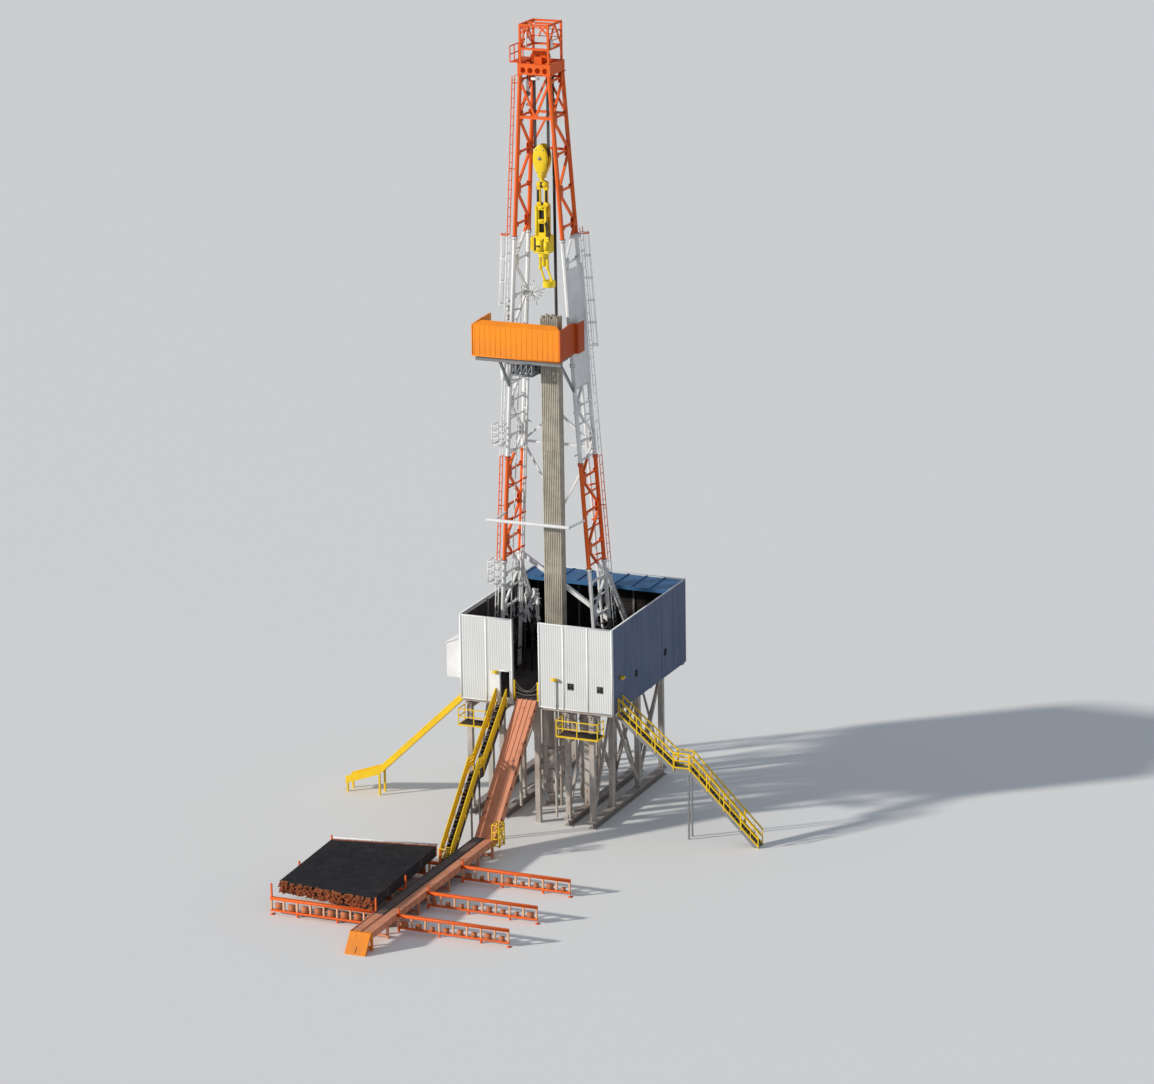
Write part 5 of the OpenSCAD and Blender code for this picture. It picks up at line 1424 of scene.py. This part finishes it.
# Escape slide: rounded rims along both walls and joints across the trough
slideSet = {"x": (-2.348, -5.788, -7.038), "z": (4.050, 0.780, 0.330), "y": -1.050, "half": 0.21,
            "wall": 0.19, "rim": 0.018}


def addSlide(s):
    # Rims follow the line through the three points (x, z), raised by the wall
    x, z = np.array(s["x"]), np.array(s["z"]) + s["wall"]
    run = np.linspace(0, 2, 41)
    px, pz = np.interp(run, (0, 1, 2), x), np.interp(run, (0, 1, 2), z)
    rims = []
    for side in (-1, 1):
        path = pointsAt(px, s["y"] + side * (s["half"] + 0.0125), pz)
        rims.append(sweep(path[1:], s["rim"]))
    addPiece("slideRims", joined(rims), "yellow", smooth=True)
    share = np.linspace(0.1, 0.9, 7)
    at = pointsAt(x[0] + (x[1] - x[0]) * share, s["y"],
                  s["z"][0] + (s["z"][1] - s["z"][0]) * share)
    joints = barSet(at - (0, s["half"] + 0.03, 0), at + (0, s["half"] + 0.03, 0), 0.035)
    addPiece("slideJoints", joints, "yellow")


addRacks(rackSet)
addSlide(slideSet)
print("racks and slide finished")

# Manifold behind the left leg: uprights with valves, slanted pipes and a brace between the legs
manifoldSet = {"corner": (-1.66, 0.95), "slant": -0.435, "columns": 4, "rows": 3,
               "gap": (0.27, 0.55), "floor": 4.225, "rise": (2.3, 3.4), "lean": 0.16,
               "drop": 0.25, "radius": 0.038, "slanted": 0.062,
               "brace": ((-1.53, 1.20, 8.22), (1.62, 1.20, 6.22)), "braceWidth": 0.13}


def addManifold(s):
    # Upright i of row k stands i gaps along and k gaps back, and each row shifts by its slant
    i, k = allPairs(np.arange(s["columns"]), np.arange(s["rows"]))
    back = s["gap"][1] * k
    x = s["corner"][0] + s["gap"][0] * i + s["slant"] * back
    foot = pointsAt(x, s["corner"][1] + back, s["floor"])
    top = foot + pointsAt(rng.uniform(-s["lean"], s["lean"], len(x)),
                          rng.uniform(-s["lean"], s["lean"], len(x)),
                          rng.uniform(*s["rise"], len(x)) - s["drop"] * k)
    r = s["radius"]
    valves = [(0, 0, r)]
    for share in (0.45, 0.66, 0.86):
        valves += [(share, 0, r), (share, 0.01, 1.9 * r), (share, 0.10, 1.9 * r), (share, 0.11, r)]
    valves += [(1, -0.05, r), (1, -0.05, 1.6 * r), (1, 0, 1.6 * r)]
    pale = (i + k) % 2 > 0
    middle = foot + (top - foot) * 0.55
    slanted = barSet(middle, np.roll(top, 2, 0), s["slanted"], 8)
    brace = barSet(*s["brace"], s["braceWidth"])
    addPiece("manifoldPipes", joined([rodSet(foot[pale], top[pale], valves, 12), slanted, brace]),
             "manifold", smooth=True)
    addPiece("manifoldDark", rodSet(foot[~pale], top[~pale], valves, 12), "black", smooth=True)


addManifold(manifoldSet)
print("manifold placed")

# Crown: guard rails, sheave guards, pale plates, a lamp and pulleys
crownSet = {"x": 0.485, "front": -0.480, "rear": 0.570, "base": 24.950, "mid": 25.390,
            "top": 26.210, "rail": 0.024, "bow": 0.30, "bowRadius": 0.026, "guard": 0.275,
            "sheaves": (-0.175, -0.09, 0.0, 0.09, 0.175),
            "pulleys": ((-0.31, -0.33, 23.95), (0.20, 0.52, 23.60)), "hangers": (24.60, 24.39)}


def addCrown(s):
    # Bow at turn p: bow (0.98 cos p, 1 - sin p) in from the corner and down
    x, f, r, b, m, t = (s[k] for k in ("x", "front", "rear", "base", "mid", "top"))
    parts = []
    for z in (m + 0.28, m + 0.52):
        ring = np.array([(-x, f, z), (x, f, z), (x, r, z), (-x, r, z)])
        parts.append(barSet(ring[1:], np.roll(ring, -1, 0)[1:], s["rail"]))
    turn = np.linspace(math.pi / 2, 0, 9)
    for side in (-1, 1):
        path = pointsAt(side * (x - 0.98 * s["bow"] * np.cos(turn)), f,
                        t - 0.065 - s["bow"] * (1 - np.sin(turn)))
        parts.append(sweep(path, s["bowRadius"]))
    parts.append(barSet([(-x, f, m), (-x, r, m)], [(-x, r, t - 0.03), (-x, f, t - 0.03)], 0.035))
    addPiece("crownRails", joined(parts), "orange")
    # Guards are half rings over the sheaves
    turn = np.linspace(0, math.pi, 21)
    guard = s["guard"] * pointsAt(np.cos(turn), 0.0, np.sin(turn))
    guards = [sweep(guard + (0, y, b + 0.10), 0.016, 6) for y in s["sheaves"]]
    addPiece("sheaveGuards", joined(guards), "orange")
    pale = (((-0.10, f - 0.06, 24.44), (0.16, f + 0.02, 24.52)),
            ((x - 0.02, f + 0.07, m + 0.08), (x + 0.058, f + 0.25, m + 0.34)),
            ((-0.30, f + 0.02, m + 0.06), (-0.265, f + 0.05, t - 0.12)),
            ((-0.34, -0.36, 24.02), (-0.28, -0.30, 24.40)),
            ((-0.40, -0.30, 23.55), (-0.30, -0.22, 23.62)))
    addPiece("crownPlates", boxSet(*zip(*pale)), "white")
    lamp = latheSet((0.02, f, t), [(0.02, 0.0), (0.025, 0.03), (0.045, 0.035), (0.045, 0.040),
                                   (0.02, 0.048)], 14)
    addPiece("crownLamp", lamp, "white", smooth=True)
    hangers = barSet([(0.03, f - 0.02, 24.52), (-0.30, -0.33, 24.40)],
                     [(0.03, f - 0.02, 24.62), (-0.30, -0.33, 24.60)], 0.03)
    pulleys = latheSet(s["pulleys"], [(0.02, -0.03), (0.085, -0.03), (0.070, -0.008),
                                      (0.070, 0.008), (0.085, 0.03), (0.02, 0.03)], 20, "Y")
    held = [(place[0], place[1], z) for place, z in zip(s["pulleys"], s["hangers"])]
    arms = barSet(s["pulleys"], held, 0.03)
    addPiece("crownPulleys", joined([hangers, pulleys, arms]), "grey")


addCrown(crownSet)
print("crown finished")
